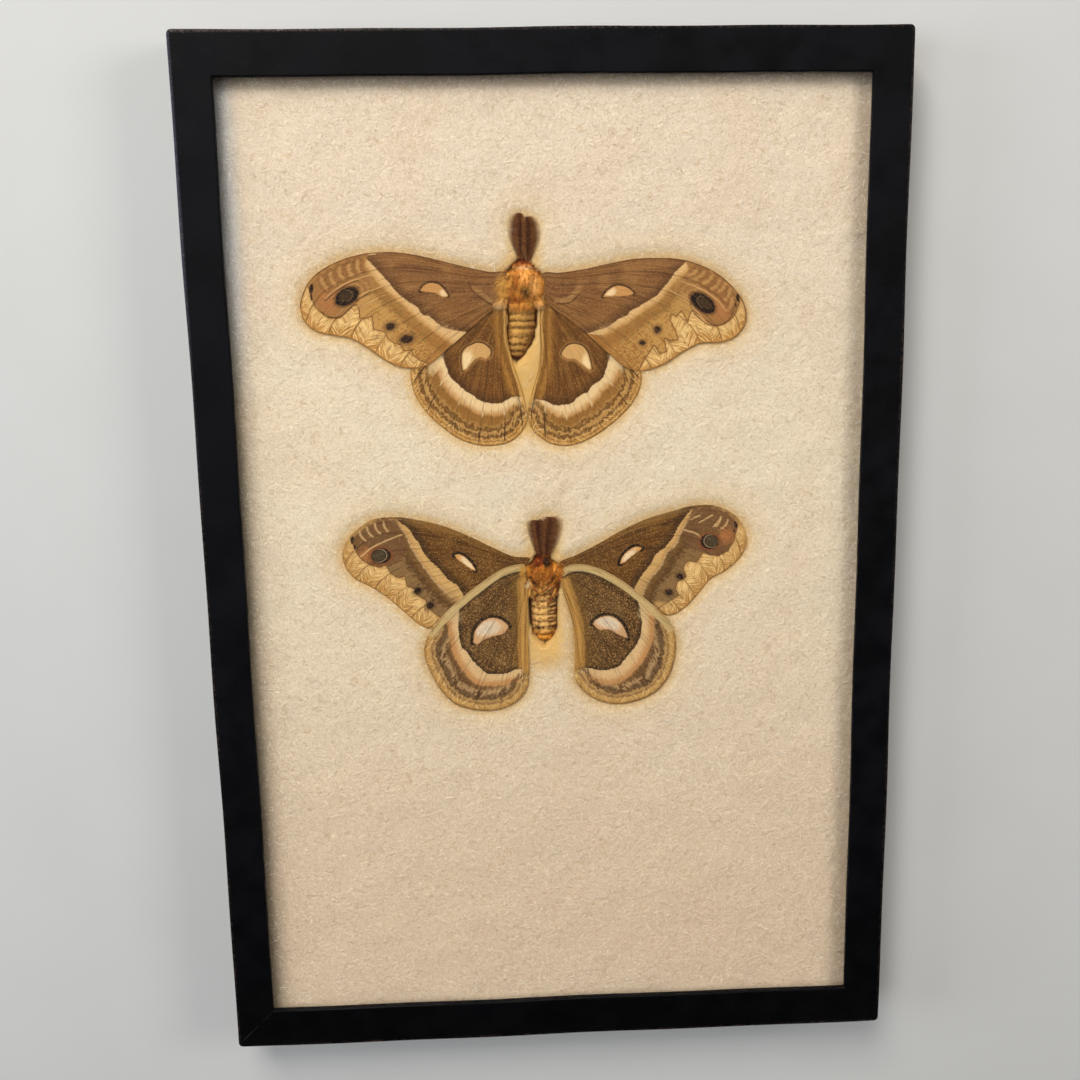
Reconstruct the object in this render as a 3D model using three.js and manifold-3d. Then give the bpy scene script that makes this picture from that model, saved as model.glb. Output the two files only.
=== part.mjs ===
// Moth shadow box: a shallow paper-covered cardboard tray with a lift-off lid. A glass pane lies in the
// lid, cotton batting fills the tray, and two pressed silk moths lie between the batting and the glass.
// The upper moth shows its back, the lower one its underside.
//
// Millimetres. The case lies on its back: +Z points out of the glass, +Y towards the top of the case,
// and the origin is the middle of the tray's underside. Left and right are as seen through the glass.

import * as THREE from 'three';
import { mergeVertices } from 'three/addons/utils/BufferGeometryUtils.js';
import Module from 'manifold-3d';

const wasm = await Module();
wasm.setup();

// Driving dimensions of the case.
const CASE_WIDTH = 203.2;
const CASE_LENGTH = 304.8;
const CASE_DEPTH = 19.05;
const BOARD = 1.6;
const LID_FACE = 2.0;
const GLASS = 2.0;
const WINDOW_BORDER_SIDE = 11.3;
const WINDOW_BORDER_END = 12.3;
const LID_SLIP = 0.4;
const LID_HANG = 0.9;
const CORNER_RADIUS = 1.4;
const EDGE_ROUND = 0.5;
const SEAT_GAP = 0.15;
const BATTING_GAP = 0.3;
const TOOL_OVERRUN = 1;

// Levels, from the table upwards.
const LID_UNDERSIDE = CASE_DEPTH - LID_FACE;
const GLASS_TOP = LID_UNDERSIDE - 0.1;
const GLASS_BOTTOM = GLASS_TOP - GLASS;
const TRAY_RIM = GLASS_BOTTOM - SEAT_GAP;
const BATTING_BOTTOM = BOARD + 0.1;
const BATTING_TOP = 13.85;

// Wing plates: the lower layer lies on the batting, the upper layer just under the glass.
const WING_THICKNESS = 0.22;
const LOWER_LAYER = 13.98;
const UPPER_LAYER = 14.4;
const VEIN_HEIGHT = 0.09;
const VEIN_HALF_WIDTH = 0.32;
const VEIN_TAPER = 0.6;
const OUTLINE_STEPS = 44;

// Antennae: flat combs.
const ANTENNA_THICKNESS = 0.24;
const ANTENNA_TEETH = 11;
const ANTENNA_SHAFT = 0.3;
const TOOTH_WIDTH = 0.42;
const TOOTH_TIP_WIDTH = 0.3;
const TOOTH_SLANT = 0.35;
const FIRST_TOOTH = 0.5;
const BARE_TIP = 0.7;

// Pins through the long sides.
const PIN_RADIUS = 0.35;
const PIN_HEAD_RADIUS = 1.1;
const PIN_HEAD_THICKNESS = 0.5;
const PIN_LENGTH = 9.5;
const PIN_POINT = 0.8;
const PIN_POINT_ROOM = 0.6;
const PIN_HOLE_RADIUS = 0.68;
const PIN_HEIGHT = 8;
const PIN_REACH_FROM_MIDDLE = 80;

const COLOURS = {
  paper: 0x1c1c22,
  glass: 0xdfe8ea,
  cotton: 0xe2d3b8,
  wing: 0x8a6a48,
  wingUnderside: 0x75685a,
  fur: 0xb87a34,
  antenna: 0x4a2c18,
  steel: 0xb9bcc0,
};

function finish(color, roughness, metalness = 0, extra = {}) {
  return new THREE.MeshStandardMaterial({ color, roughness, metalness, ...extra });
}

const materials = {
  paper: finish(COLOURS.paper, 0.55),
  glass: finish(COLOURS.glass, 0.05, 0, { transparent: true, opacity: 0.3 }),
  cotton: finish(COLOURS.cotton, 0.95),
  wing: finish(COLOURS.wing, 0.8),
  wingUnderside: finish(COLOURS.wingUnderside, 0.8),
  fur: finish(COLOURS.fur, 0.9),
  antenna: finish(COLOURS.antenna, 0.8),
  steel: finish(COLOURS.steel, 0.3, 1),
};

// Joining and cutting.
function toSolid(geometry) {
  const bare = geometry.clone();
  bare.deleteAttribute('normal');
  bare.deleteAttribute('uv');
  const merged = mergeVertices(bare, 1e-4);
  return new wasm.Manifold(new wasm.Mesh({
    numProp: 3,
    vertProperties: new Float32Array(merged.attributes.position.array),
    triVerts: new Uint32Array(merged.index.array),
  }));
}

function toGeometry(solid) {
  const mesh = solid.getMesh();
  const geometry = new THREE.BufferGeometry();
  geometry.setAttribute('position', new THREE.BufferAttribute(mesh.vertProperties, 3));
  geometry.setIndex(new THREE.BufferAttribute(mesh.triVerts, 1));
  geometry.computeVertexNormals();
  return geometry;
}

function join(solids) {
  return solids.reduce((whole, piece) => whole.add(piece));
}

function cut(solid, tools) {
  return tools.reduce((rest, tool) => rest.subtract(tool), solid);
}

function piece(name, solid, material) {
  const mesh = new THREE.Mesh(toGeometry(solid), material);
  mesh.name = name;
  return mesh;
}

// Plain blocks for the case.
function block(width, length, bottom, top) {
  const box = new THREE.BoxGeometry(width, length, top - bottom);
  return toSolid(box.translate(0, 0, (top + bottom) / 2));
}

function roundedBlock(width, length, bottom, top) {
  const halfWidth = width / 2 - EDGE_ROUND;
  const halfLength = length / 2 - EDGE_ROUND;
  const radius = CORNER_RADIUS - EDGE_ROUND;
  const outline = new THREE.Shape();
  outline.absarc(halfWidth - radius, halfLength - radius, radius, 0, Math.PI / 2);
  outline.absarc(radius - halfWidth, halfLength - radius, radius, Math.PI / 2, Math.PI);
  outline.absarc(radius - halfWidth, radius - halfLength, radius, Math.PI, Math.PI * 1.5);
  outline.absarc(halfWidth - radius, radius - halfLength, radius, Math.PI * 1.5, Math.PI * 2);
  const extruded = new THREE.ExtrudeGeometry(outline, {
    depth: top - bottom - 2 * EDGE_ROUND,
    bevelSize: EDGE_ROUND,
    bevelThickness: EDGE_ROUND,
    bevelSegments: 2,
    curveSegments: 2,
  });
  return toSolid(extruded.translate(0, 0, bottom + EDGE_ROUND));
}

// A pin points inwards along -X from its head, or +X on the left side.
function pinTool(radius, length, side) {
  const rod = new THREE.CylinderGeometry(radius, radius, length, 8);
  rod.rotateZ(Math.PI / 2);
  return rod.translate(side * (CASE_WIDTH / 2 + TOOL_OVERRUN - length / 2), 0, PIN_HEIGHT);
}

const pinPlaces = [
  { name: 'lid_pin_left_upper', side: -1, y: PIN_REACH_FROM_MIDDLE },
  { name: 'lid_pin_left_lower', side: -1, y: -PIN_REACH_FROM_MIDDLE },
  { name: 'lid_pin_right_upper', side: 1, y: PIN_REACH_FROM_MIDDLE },
  { name: 'lid_pin_right_lower', side: 1, y: -PIN_REACH_FROM_MIDDLE },
];

const pinHoleLength = TOOL_OVERRUN + PIN_LENGTH + PIN_POINT_ROOM;
const pinHoles = pinPlaces.map(({ side, y }) =>
  toSolid(pinTool(PIN_HOLE_RADIUS, pinHoleLength, side).translate(0, y, 0)));

function makePin({ name, side, y }) {
  const profile = [
    [0, -PIN_LENGTH],
    [PIN_RADIUS, PIN_POINT - PIN_LENGTH],
    [PIN_RADIUS, SEAT_GAP],
    [PIN_HEAD_RADIUS, SEAT_GAP],
    [PIN_HEAD_RADIUS * 0.8, SEAT_GAP + PIN_HEAD_THICKNESS],
    [0, SEAT_GAP + PIN_HEAD_THICKNESS],
  ];
  const pin = piece(name, toSolid(turned(profile, 10)), materials.steel);
  pin.rotation.z = -side * Math.PI / 2;
  pin.position.set(side * CASE_WIDTH / 2, y, PIN_HEIGHT);
  return pin;
}

function makeTray() {
  const width = CASE_WIDTH - 2 * (BOARD + LID_SLIP);
  const length = CASE_LENGTH - 2 * (BOARD + LID_SLIP);
  const outside = roundedBlock(width, length, 0, TRAY_RIM);
  const inside = block(width - 2 * BOARD, length - 2 * BOARD, BOARD, CASE_DEPTH);
  return piece('tray', cut(outside, [inside, ...pinHoles]), materials.paper);
}

function makeLid() {
  const outside = roundedBlock(CASE_WIDTH, CASE_LENGTH, LID_HANG, CASE_DEPTH);
  const inside = block(CASE_WIDTH - 2 * BOARD, CASE_LENGTH - 2 * BOARD, -TOOL_OVERRUN, LID_UNDERSIDE);
  const opening = block(
    CASE_WIDTH - 2 * WINDOW_BORDER_SIDE,
    CASE_LENGTH - 2 * WINDOW_BORDER_END,
    LID_UNDERSIDE - TOOL_OVERRUN,
    CASE_DEPTH + TOOL_OVERRUN,
  );
  return piece('lid', cut(outside, [inside, opening, ...pinHoles]), materials.paper);
}

function makeGlass() {
  const width = CASE_WIDTH - 2 * (BOARD + LID_SLIP);
  const length = CASE_LENGTH - 2 * (BOARD + LID_SLIP);
  return piece('glass_pane', block(width, length, GLASS_BOTTOM, GLASS_TOP), materials.glass);
}

// Moths. All places are in the case's own frame, read off the photograph at its real size.
// A body is a turned form along Y, flattened in Z and bent along a spine.
const BODY_MIDDLE = 10.9;
const ABDOMEN_FLATNESS = 0.86;
const THORAX_FLATNESS = 0.68;
const RING_GROOVE = 0.9;
const EYE_RADIUS = 0.9;

// Room kept round a body: by wings and antennae, and by the batting's pockets, which open upwards.
const WING_TO_BODY = 0.4;
const POCKET_TO_BODY = 0.8;
const POCKET_OPENING = 6;

// Facets round the turned forms.
const BODY_SIDES = 14;
const POCKET_SIDES = 9;

const UPPER_BODY = {
  waist: 77.5,
  tail: [62.0, 0.6],
  rings: [[63.4, 2.2], [65.2, 3.1], [67.2, 3.7], [69.4, 3.95], [71.6, 4.0], [73.8, 4.05], [76, 4.2]],
  front: [[78, 4.0], [79.6, 4.9], [82, 5.5], [84.6, 5.4], [86.8, 4.4], [87.9, 3.0], [89, 2.5], [89.9, 1.3]],
  nose: 90.2,
  spine: [[61, -10.1], [64.5, -9.4], [68, -8.5], [72, -8.0], [78, -7.8], [91, -7.6]],
  lobes: [[-11.7, 82.6, 11.8, 3.2, 4.6, 2.6, 0.25], [-3.6, 82.4, 11.8, 2.5, 4.6, 2.6, -0.2]],
  eyes: [[-9.9, 88.5, 12.2], [-5.3, 88.5, 12.2]],
};

const LOWER_BODY = {
  waist: -8.5,
  tail: [-23.3, 0.9],
  rings: [[-22.2, 2.5], [-20.2, 3.4], [-18.1, 3.85], [-16, 4.0], [-13.9, 4.1], [-11.8, 4.15], [-9.8, 4.2]],
  front: [[-8, 4.2], [-6.6, 4.7], [-4, 5.0], [-1.5, 5.0], [0.4, 4.3], [1.2, 3.0], [2.2, 2.6], [3.4, 1.5]],
  nose: 3.9,
  spine: [[-24, -2.9], [-18, -3.2], [-10, -3.3], [-4, -3.8], [4, -3.3]],
  lobes: [[-8.3, -1.4, 11.4, 2.4, 3.2, 2.4, 0.5], [0.3, -1.2, 11.4, 1.7, 3.4, 2.4, -0.3]],
  eyes: [[-4.9, 1.5, 13.2], [-2.0, 1.4, 13.4]],
};

// Legs folded on the lower moth's breast: hip, knee and foot of each.
const LEG_RADIUS = 0.42;
const LEG_LEVEL = 14.15;
const HIP_DROP = 0.9;
const LEGS = [
  [[-8.9, 0.2], [-6.6, -2.2], [-4.7, -5.2]],
  [[1.0, 0.4], [-0.7, -2.6], [-2.5, -4.6]],
  [[-7.7, -3.6], [-6.2, -6.4], [-4.5, -8.4]],
  [[0.7, -3.8], [-1.5, -6.0], [-3.8, -7.8]],
  [[-6.9, -6.8], [-6.0, -9.2], [-5.1, -11.0]],
  [[0.5, -6.9], [-0.8, -9.4], [-1.7, -11.2]],
];

function between(table, at) {
  const next = table.findIndex(([key]) => key >= at);
  if (next < 0) return table[table.length - 1][1];
  if (next === 0) return table[0][1];
  const [key0, value0] = table[next - 1];
  const [key1, value1] = table[next];
  return THREE.MathUtils.mapLinear(at, key0, key1, value0, value1);
}

function flattenAlongSpine(geometry, body) {
  const place = geometry.attributes.position;
  for (let i = 0; i < place.count; i += 1) {
    const y = place.getY(i);
    const thoraxShare = THREE.MathUtils.smoothstep(y, body.waist - 1, body.waist + 3);
    const flatness = THREE.MathUtils.lerp(ABDOMEN_FLATNESS, THORAX_FLATNESS, thoraxShare);
    place.setX(i, place.getX(i) + between(body.spine, y));
    place.setZ(i, place.getZ(i) * flatness + BODY_MIDDLE);
  }
  return geometry;
}

function bodyProfile(body) {
  const profile = [[0, body.tail[0]], [body.tail[1], body.tail[0] + 0.3]];
  body.rings.forEach(([y, radius], i) => {
    profile.push([radius, y]);
    const next = body.rings[i + 1];
    if (next) profile.push([(radius + next[1]) / 2 * RING_GROOVE, (y + next[0]) / 2]);
  });
  body.front.forEach(([y, radius]) => profile.push([radius, y]));
  profile.push([0, body.nose]);
  return profile;
}

function turned(profile, sides) {
  return new THREE.LatheGeometry(profile.map(([r, y]) => new THREE.Vector2(r, y)), sides);
}

function ellipsoid([x, y, z, halfX, halfY, halfZ, turn], across, around) {
  const ball = new THREE.SphereGeometry(1, across, around);
  return ball.scale(halfX, halfY, halfZ).rotateZ(turn).translate(x, y, z);
}

function eyeBall([x, y, z], room = 0) {
  const radius = EYE_RADIUS + room;
  return [x, y, z, radius, radius, radius, 0];
}

function bodySolid(body) {
  const trunk = toSolid(flattenAlongSpine(turned(bodyProfile(body), BODY_SIDES), body));
  const lobes = body.lobes.map((lobe) => toSolid(ellipsoid(lobe, 10, 7)));
  const eyes = body.eyes.map((eye) => toSolid(ellipsoid(eyeBall(eye), 8, 6)));
  return join([trunk, ...lobes, ...eyes]);
}

// A smooth, slightly larger form of the body, for the clearance that wings and batting keep to it. With
// an opening above 1, its upper half is stretched upwards, so that a pocket cut with it is open above.
function bodyRoom(body, room, sides, opening = 1) {
  const open = (geometry) => {
    const place = geometry.attributes.position;
    for (let i = 0; i < place.count; i += 1) {
      const rise = place.getZ(i) - BODY_MIDDLE;
      if (rise > 0) place.setZ(i, BODY_MIDDLE + rise * opening);
    }
    return toSolid(geometry);
  };
  const profile = [
    [0, body.tail[0] - room],
    [body.tail[1] + room, body.tail[0]],
    ...[...body.rings, ...body.front].map(([y, radius]) => [radius + room, y]),
    [0, body.nose + room],
  ];
  const trunk = flattenAlongSpine(turned(profile, sides), body);
  const lobes = body.lobes.map(([x, y, z, halfX, halfY, halfZ, turn]) =>
    ellipsoid([x, y, z, halfX + room, halfY + room, halfZ + room, turn], sides, 6));
  const eyes = body.eyes.map((eye) => ellipsoid(eyeBall(eye, room), 8, 6));
  return join([trunk, ...lobes, ...eyes].map(open));
}

function legSolid(points) {
  const route = new THREE.CatmullRomCurve3(points.map(([x, y], i) =>
    new THREE.Vector3(x, y, LEG_LEVEL - (i === 0 ? HIP_DROP : 0))));
  const section = new THREE.Shape();
  section.absarc(0, 0, LEG_RADIUS, 0, Math.PI * 2);
  const options = { steps: 4, curveSegments: 3, bevelEnabled: false, extrudePath: route };
  return toSolid(new THREE.ExtrudeGeometry(section, options));
}

// Wings. Each outline runs from the front of the wing root along the costa to the apex, down the outer
// margin to the tornus, and back along the inner margin to the root.
const WINGS = {
  upper_moth_forewing_left: {
    layer: UPPER_LAYER,
    outline: [
      [-12, 86.6], [-16.5, 86.9], [-21, 87.8], [-27, 89.3], [-35, 91.4], [-43, 92.8], [-50, 92.8],
      [-56, 91.7], [-62, 89.4], [-66.5, 86.4], [-69.3, 82.6], [-70.6, 78], [-69.6, 73.9], [-66.5, 71.1],
      [-61.5, 69.8], [-57, 68.9], [-52, 66], [-47, 62.3], [-42.4, 60.3], [-38, 60.1], [-34.4, 61.3],
      [-31, 64], [-25, 69], [-18.5, 74.6], [-13.6, 78.4],
    ],
    apex: 11,
    tornus: 20,
  },
  upper_moth_forewing_right: {
    layer: UPPER_LAYER,
    outline: [
      [-1.8, 86.2], [3, 86.4], [10, 87.3], [17, 88.7], [24, 89.9], [31, 90.1], [37, 89.7], [43, 88],
      [48.5, 85.1], [52.7, 81.4], [55.7, 77.3], [56.6, 72.6], [55.2, 69.1], [52.4, 66.7], [48.5, 65.7],
      [43.5, 65.6], [38.5, 63.4], [33, 59.9], [28.5, 58.3], [24.5, 58], [20.6, 59.8], [17, 63],
      [11.5, 68], [5, 73.5], [-0.9, 78.3],
    ],
    apex: 11,
    tornus: 20,
  },
  upper_moth_hindwing_left: {
    layer: LOWER_LAYER,
    outline: [
      [-13, 80.5], [-20, 77], [-28, 72.5], [-35.5, 66.5], [-39.8, 61.3], [-40.2, 56.5], [-38.9, 51.5],
      [-36, 47], [-32, 43], [-27, 39.2], [-21.5, 37.2], [-16.5, 37], [-12.2, 38], [-8.8, 40.8],
      [-7.15, 43.8], [-7.4, 48.5], [-8.6, 54], [-10.6, 60.5], [-12.1, 66.5], [-12.5, 72], [-12.4, 76.5],
    ],
    apex: 4,
    tornus: 14,
  },
  upper_moth_hindwing_right: {
    layer: LOWER_LAYER,
    outline: [
      [-1.2, 80.5], [5, 76.5], [12, 72], [19.5, 66.5], [24.6, 61.5], [26.3, 56.5], [25.4, 51.8],
      [22.6, 47.4], [18, 43], [12, 38.9], [6, 36.6], [0.8, 36.8], [-3.2, 39], [-5.8, 41.8],
      [-6.75, 44.8], [-6.65, 48], [-5.4, 53], [-3.6, 59], [-2.8, 65], [-2.9, 71], [-2.6, 76],
    ],
    apex: 4,
    tornus: 14,
  },
  lower_moth_forewing_left: {
    layer: LOWER_LAYER,
    outline: [
      [-7, 2.6], [-12, 3.5], [-18, 6.3], [-25, 10], [-32, 13.1], [-39, 15.1], [-46, 16.3], [-52.5, 15.8],
      [-57, 13.4], [-60.3, 10.2], [-62.2, 6], [-61.6, 1.7], [-59, -2], [-54, -4.9], [-49.5, -8.2],
      [-44.5, -13], [-39.8, -17.2], [-35.4, -18.5], [-31.5, -16.6], [-25, -11.8], [-17, -6.3],
      [-9.5, -2],
    ],
    apex: 10,
    tornus: 17,
  },
  lower_moth_forewing_right: {
    layer: LOWER_LAYER,
    outline: [
      [1.6, 1], [6.5, 3.3], [13, 6.5], [20, 10.4], [27.5, 13.8], [34.5, 15.9], [41, 17.5], [47, 17.6],
      [52, 15.8], [55.7, 12.6], [57.6, 8.6], [57.6, 5], [55.6, 1.2], [51.5, -2.6], [47, -5.1],
      [43, -9.8], [39, -14], [35, -16.1], [31.8, -15.4], [27, -12.2], [19, -7.5], [11, -4.2],
      [3.6, -2.6],
    ],
    apex: 11,
    tornus: 18,
  },
  lower_moth_hindwing_left: {
    layer: UPPER_LAYER,
    outline: [
      [-8.6, 0.9], [-11.5, 1], [-16, -0.5], [-21, -3.7], [-27, -8.2], [-32.6, -13.2], [-36.8, -18.5],
      [-39.1, -23], [-39.1, -27.3], [-37.3, -32.3], [-34.3, -38], [-30.5, -42], [-25.5, -43.9],
      [-20.5, -44.5], [-15.5, -43.7], [-11, -41], [-8.7, -37.3], [-8.1, -32], [-8.15, -25], [-8.1, -17],
      [-7.9, -10], [-8.1, -5],
    ],
    apex: 6,
    tornus: 16,
  },
  lower_moth_hindwing_right: {
    layer: UPPER_LAYER,
    outline: [
      [2.2, -0.8], [4.5, 0.4], [8.5, 0.6], [13.5, -0.8], [19.5, -4.2], [25.5, -8.9], [31, -14.2],
      [35, -18.9], [36.4, -24.5], [35.8, -30.5], [33.8, -36], [29.8, -40.4], [24.5, -42.8],
      [18.5, -43.6], [13, -42.3], [8.5, -39.2], [6, -35.5], [5.8, -30], [5.8, -23], [5.1, -16.5],
      [3.4, -10], [1.9, -5],
    ],
    apex: 7,
    tornus: 16,
  },
};

// Veins: each runs at a fixed share of the way from costa to inner margin, from where it starts on the
// way out from the root. The middle ones start at the end of the cell.
const VEINS = [[0.13, 0.1], [0.3, 0.1], [0.45, 0.46], [0.6, 0.46], [0.76, 0.1], [0.91, 0.14]];
const VEIN_STOPS = 5;
const VEIN_END = 0.975;

function outlineCurve(wing) {
  const points = wing.outline.map(([x, y]) => new THREE.Vector3(x, y, 0));
  return new THREE.CatmullRomCurve3(points, true);
}

// A point on the wing, by its share of the way out from the root and of the way across from the costa.
function onWing(wing, curve, out, across) {
  const count = wing.outline.length;
  const rootBack = count - 1;
  const costa = (s) => curve.getPoint(s * wing.apex / count);
  const inner = (s) => curve.getPoint((rootBack + (wing.tornus - rootBack) * s) / count);
  const margin = (s) => curve.getPoint((wing.apex + (wing.tornus - wing.apex) * s) / count);
  const root = (s) => costa(0).lerp(inner(0), s);
  const lengthwise = costa(out).lerp(inner(out), across);
  const crosswise = root(across).lerp(margin(across), out);
  const corners = costa(0).lerp(inner(0), across).lerp(margin(0).lerp(margin(1), across), out);
  return lengthwise.add(crosswise).sub(corners);
}

function veinSolid(wing, curve, [across, start]) {
  const stops = Array.from({ length: VEIN_STOPS }, (unused, i) =>
    onWing(wing, curve, THREE.MathUtils.lerp(start, VEIN_END, i / (VEIN_STOPS - 1)), across));
  const left = [];
  const right = [];
  stops.forEach((stop, i) => {
    const ahead = stops[Math.min(i + 1, VEIN_STOPS - 1)];
    const behind = stops[Math.max(i - 1, 0)];
    const along = ahead.clone().sub(behind).normalize();
    const halfWidth = VEIN_HALF_WIDTH * (1 - VEIN_TAPER * i / (VEIN_STOPS - 1));
    const sideways = new THREE.Vector2(-along.y, along.x).multiplyScalar(halfWidth);
    left.push(new THREE.Vector2(stop.x, stop.y).add(sideways));
    right.unshift(new THREE.Vector2(stop.x, stop.y).sub(sideways));
  });
  const strip = new THREE.Shape([...left, ...right]);
  const depth = WING_THICKNESS / 2 + VEIN_HEIGHT;
  const raised = new THREE.ExtrudeGeometry(strip, { depth, bevelEnabled: false });
  return toSolid(raised.translate(0, 0, wing.layer + WING_THICKNESS / 2));
}

function wingSolid(wing) {
  const curve = outlineCurve(wing);
  const outline = new THREE.Shape(curve.getPoints(OUTLINE_STEPS).slice(0, -1)
    .map(({ x, y }) => new THREE.Vector2(x, y)));
  const sheet = new THREE.ExtrudeGeometry(outline, { depth: WING_THICKNESS, bevelEnabled: false });
  const plate = toSolid(sheet.translate(0, 0, wing.layer));
  return join([plate, ...VEINS.map((vein) => veinSolid(wing, curve, vein))]);
}

// Antennae: base and tip of the shaft, and how far the comb's teeth reach to the left and right.
const ANTENNAE = {
  upper_moth_antenna_left: { base: [-8.1, 90.6], tip: [-7.8, 102.3], left: 2.7, right: 0.75, level: 14.05 },
  upper_moth_antenna_right: { base: [-5.3, 89.6], tip: [-5.5, 101.1], left: 1.2, right: 2.35, level: 14.05 },
  lower_moth_antenna_left: { base: [-3.8, 4.3], tip: [-4.9, 14.0], left: 2.8, right: 2.2, level: 14.0 },
  lower_moth_antenna_right: { base: [-2.4, 4.3], tip: [-0.6, 15.4], left: 2.6, right: 3.2, level: 14.42 },
};

// One side of a comb, from the base up: teeth that rise towards the tip and are longest in the middle.
function combSide(length, reach, side) {
  const points = [[side * ANTENNA_SHAFT, 0]];
  const pitch = (length - FIRST_TOOTH - BARE_TIP) / ANTENNA_TEETH;
  for (let i = 0; i < ANTENNA_TEETH; i += 1) {
    const foot = FIRST_TOOTH + i * pitch;
    const share = (i + 1) / (ANTENNA_TEETH + 1);
    const out = ANTENNA_SHAFT + (reach - ANTENNA_SHAFT) * Math.sin(Math.PI * share ** 0.85) ** 0.6;
    const rise = out * TOOTH_SLANT;
    points.push(
      [side * ANTENNA_SHAFT, foot],
      [side * out, foot + rise],
      [side * out, foot + rise + TOOTH_TIP_WIDTH],
      [side * ANTENNA_SHAFT, foot + TOOTH_WIDTH],
    );
  }
  return points;
}

function makeAntenna(name, { base, tip, left, right, level }, room) {
  const length = Math.hypot(tip[0] - base[0], tip[1] - base[1]);
  const turn = Math.atan2(base[0] - tip[0], tip[1] - base[1]);
  const rightSide = combSide(length, right, 1);
  const leftSide = combSide(length, left, -1).reverse();
  const outline = [...rightSide, [0, length], ...leftSide].map(([x, y]) => new THREE.Vector2(x, y));
  const comb = new THREE.ExtrudeGeometry(new THREE.Shape(outline), {
    depth: ANTENNA_THICKNESS,
    bevelEnabled: false,
  });
  comb.rotateZ(turn).translate(base[0], base[1], level);
  return piece(name, cut(toSolid(comb), [room]), materials.antenna);
}

function makeMoth(prefix, body, legs, wingMaterial) {
  const moth = new THREE.Group();
  const room = bodyRoom(body, WING_TO_BODY, BODY_SIDES);
  const trunk = join([bodySolid(body), ...legs.map(legSolid)]);
  moth.add(piece(`${prefix}_body`, trunk, materials.fur));
  for (const [name, wing] of Object.entries(WINGS)) {
    if (name.startsWith(prefix)) moth.add(piece(name, cut(wingSolid(wing), [room]), wingMaterial));
  }
  for (const [name, antenna] of Object.entries(ANTENNAE)) {
    if (name.startsWith(prefix)) moth.add(makeAntenna(name, antenna, room));
  }
  return moth;
}

function makeBatting() {
  const side = 2 * (2 * BOARD + LID_SLIP + BATTING_GAP);
  const pad = block(CASE_WIDTH - side, CASE_LENGTH - side, BATTING_BOTTOM, BATTING_TOP);
  const pockets = [UPPER_BODY, LOWER_BODY].map((body) => bodyRoom(body, POCKET_TO_BODY, POCKET_SIDES, POCKET_OPENING));
  return piece('batting', cut(pad, [...pockets, ...pinHoles]), materials.cotton);
}

const box = new THREE.Group();
box.add(makeTray(), makeLid(), makeGlass(), makeBatting());
pinPlaces.forEach((place) => box.add(makePin(place)));
box.add(makeMoth('upper_moth', UPPER_BODY, [], materials.wing));
box.add(makeMoth('lower_moth', LOWER_BODY, LEGS, materials.wingUnderside));

export default box;
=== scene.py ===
# %% [markdown]
# # Moth shadow box
# The object is a shallow case of black paper over board. Its lid holds a glass pane, and under the glass
# two silk moths lie spread on a bed of cotton: the upper one shows its back, the lower one its underside.
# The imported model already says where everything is. Here each piece gets the surface that makes it look
# real: cotton with soft lumps and fibres, wings with veins and scales, bodies with fur.
# Tables below are in millimetres, because that is how such a thing is measured. Meshes are made in
# millimetres too, and are brought to metres when they become pieces.

# %% Load the frame
import math

import bmesh
import bpy
import numpy as np
from mathutils import Matrix, Vector


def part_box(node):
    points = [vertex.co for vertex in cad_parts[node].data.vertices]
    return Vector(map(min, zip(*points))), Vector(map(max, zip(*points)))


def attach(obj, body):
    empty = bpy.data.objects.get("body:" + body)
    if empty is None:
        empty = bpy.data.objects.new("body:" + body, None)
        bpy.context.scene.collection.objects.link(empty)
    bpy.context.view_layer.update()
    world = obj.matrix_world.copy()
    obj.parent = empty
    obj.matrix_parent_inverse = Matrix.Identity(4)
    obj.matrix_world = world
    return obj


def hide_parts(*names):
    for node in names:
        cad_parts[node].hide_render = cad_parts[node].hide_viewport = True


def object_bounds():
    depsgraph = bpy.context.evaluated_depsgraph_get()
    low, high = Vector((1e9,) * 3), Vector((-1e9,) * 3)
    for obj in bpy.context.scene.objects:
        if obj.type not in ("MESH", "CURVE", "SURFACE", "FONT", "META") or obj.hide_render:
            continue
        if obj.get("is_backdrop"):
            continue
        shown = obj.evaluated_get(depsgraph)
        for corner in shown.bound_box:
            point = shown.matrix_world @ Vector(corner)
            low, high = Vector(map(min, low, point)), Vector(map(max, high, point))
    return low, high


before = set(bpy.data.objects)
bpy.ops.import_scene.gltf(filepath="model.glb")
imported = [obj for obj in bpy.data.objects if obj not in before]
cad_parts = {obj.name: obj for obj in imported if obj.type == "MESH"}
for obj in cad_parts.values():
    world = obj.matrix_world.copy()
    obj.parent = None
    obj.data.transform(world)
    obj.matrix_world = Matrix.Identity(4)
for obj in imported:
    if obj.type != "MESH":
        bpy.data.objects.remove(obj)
cad_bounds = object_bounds()
MM = 0.001
print("frame loaded:", len(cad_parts), "nodes")


# %% [markdown]
# ## Reading sizes from the frame
# A node's box gives its lowest and highest corner. Every level of the case comes from these boxes, so
# the fine pieces fit the plain ones without any fitting by eye.

# %% Levels of the case
def box_of(node):
    low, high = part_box(node)
    return np.array(low) / MM, np.array(high) / MM


lid_low, lid_high = box_of("lid")
tray_low, tray_high = box_of("tray")
glass_low, glass_high = box_of("glass_pane")
pad_low, pad_high = box_of("batting")
BOARD = 1.6
FACE_BOARD = lid_high[2] - glass_high[2] - 0.1
WINDOW = np.array([180.6, 280.2]) / 2
GLASS_UNDERSIDE = glass_low[2]
print("glass from", glass_low[2].round(2), "to", glass_high[2].round(2), "mm above the table")
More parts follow.
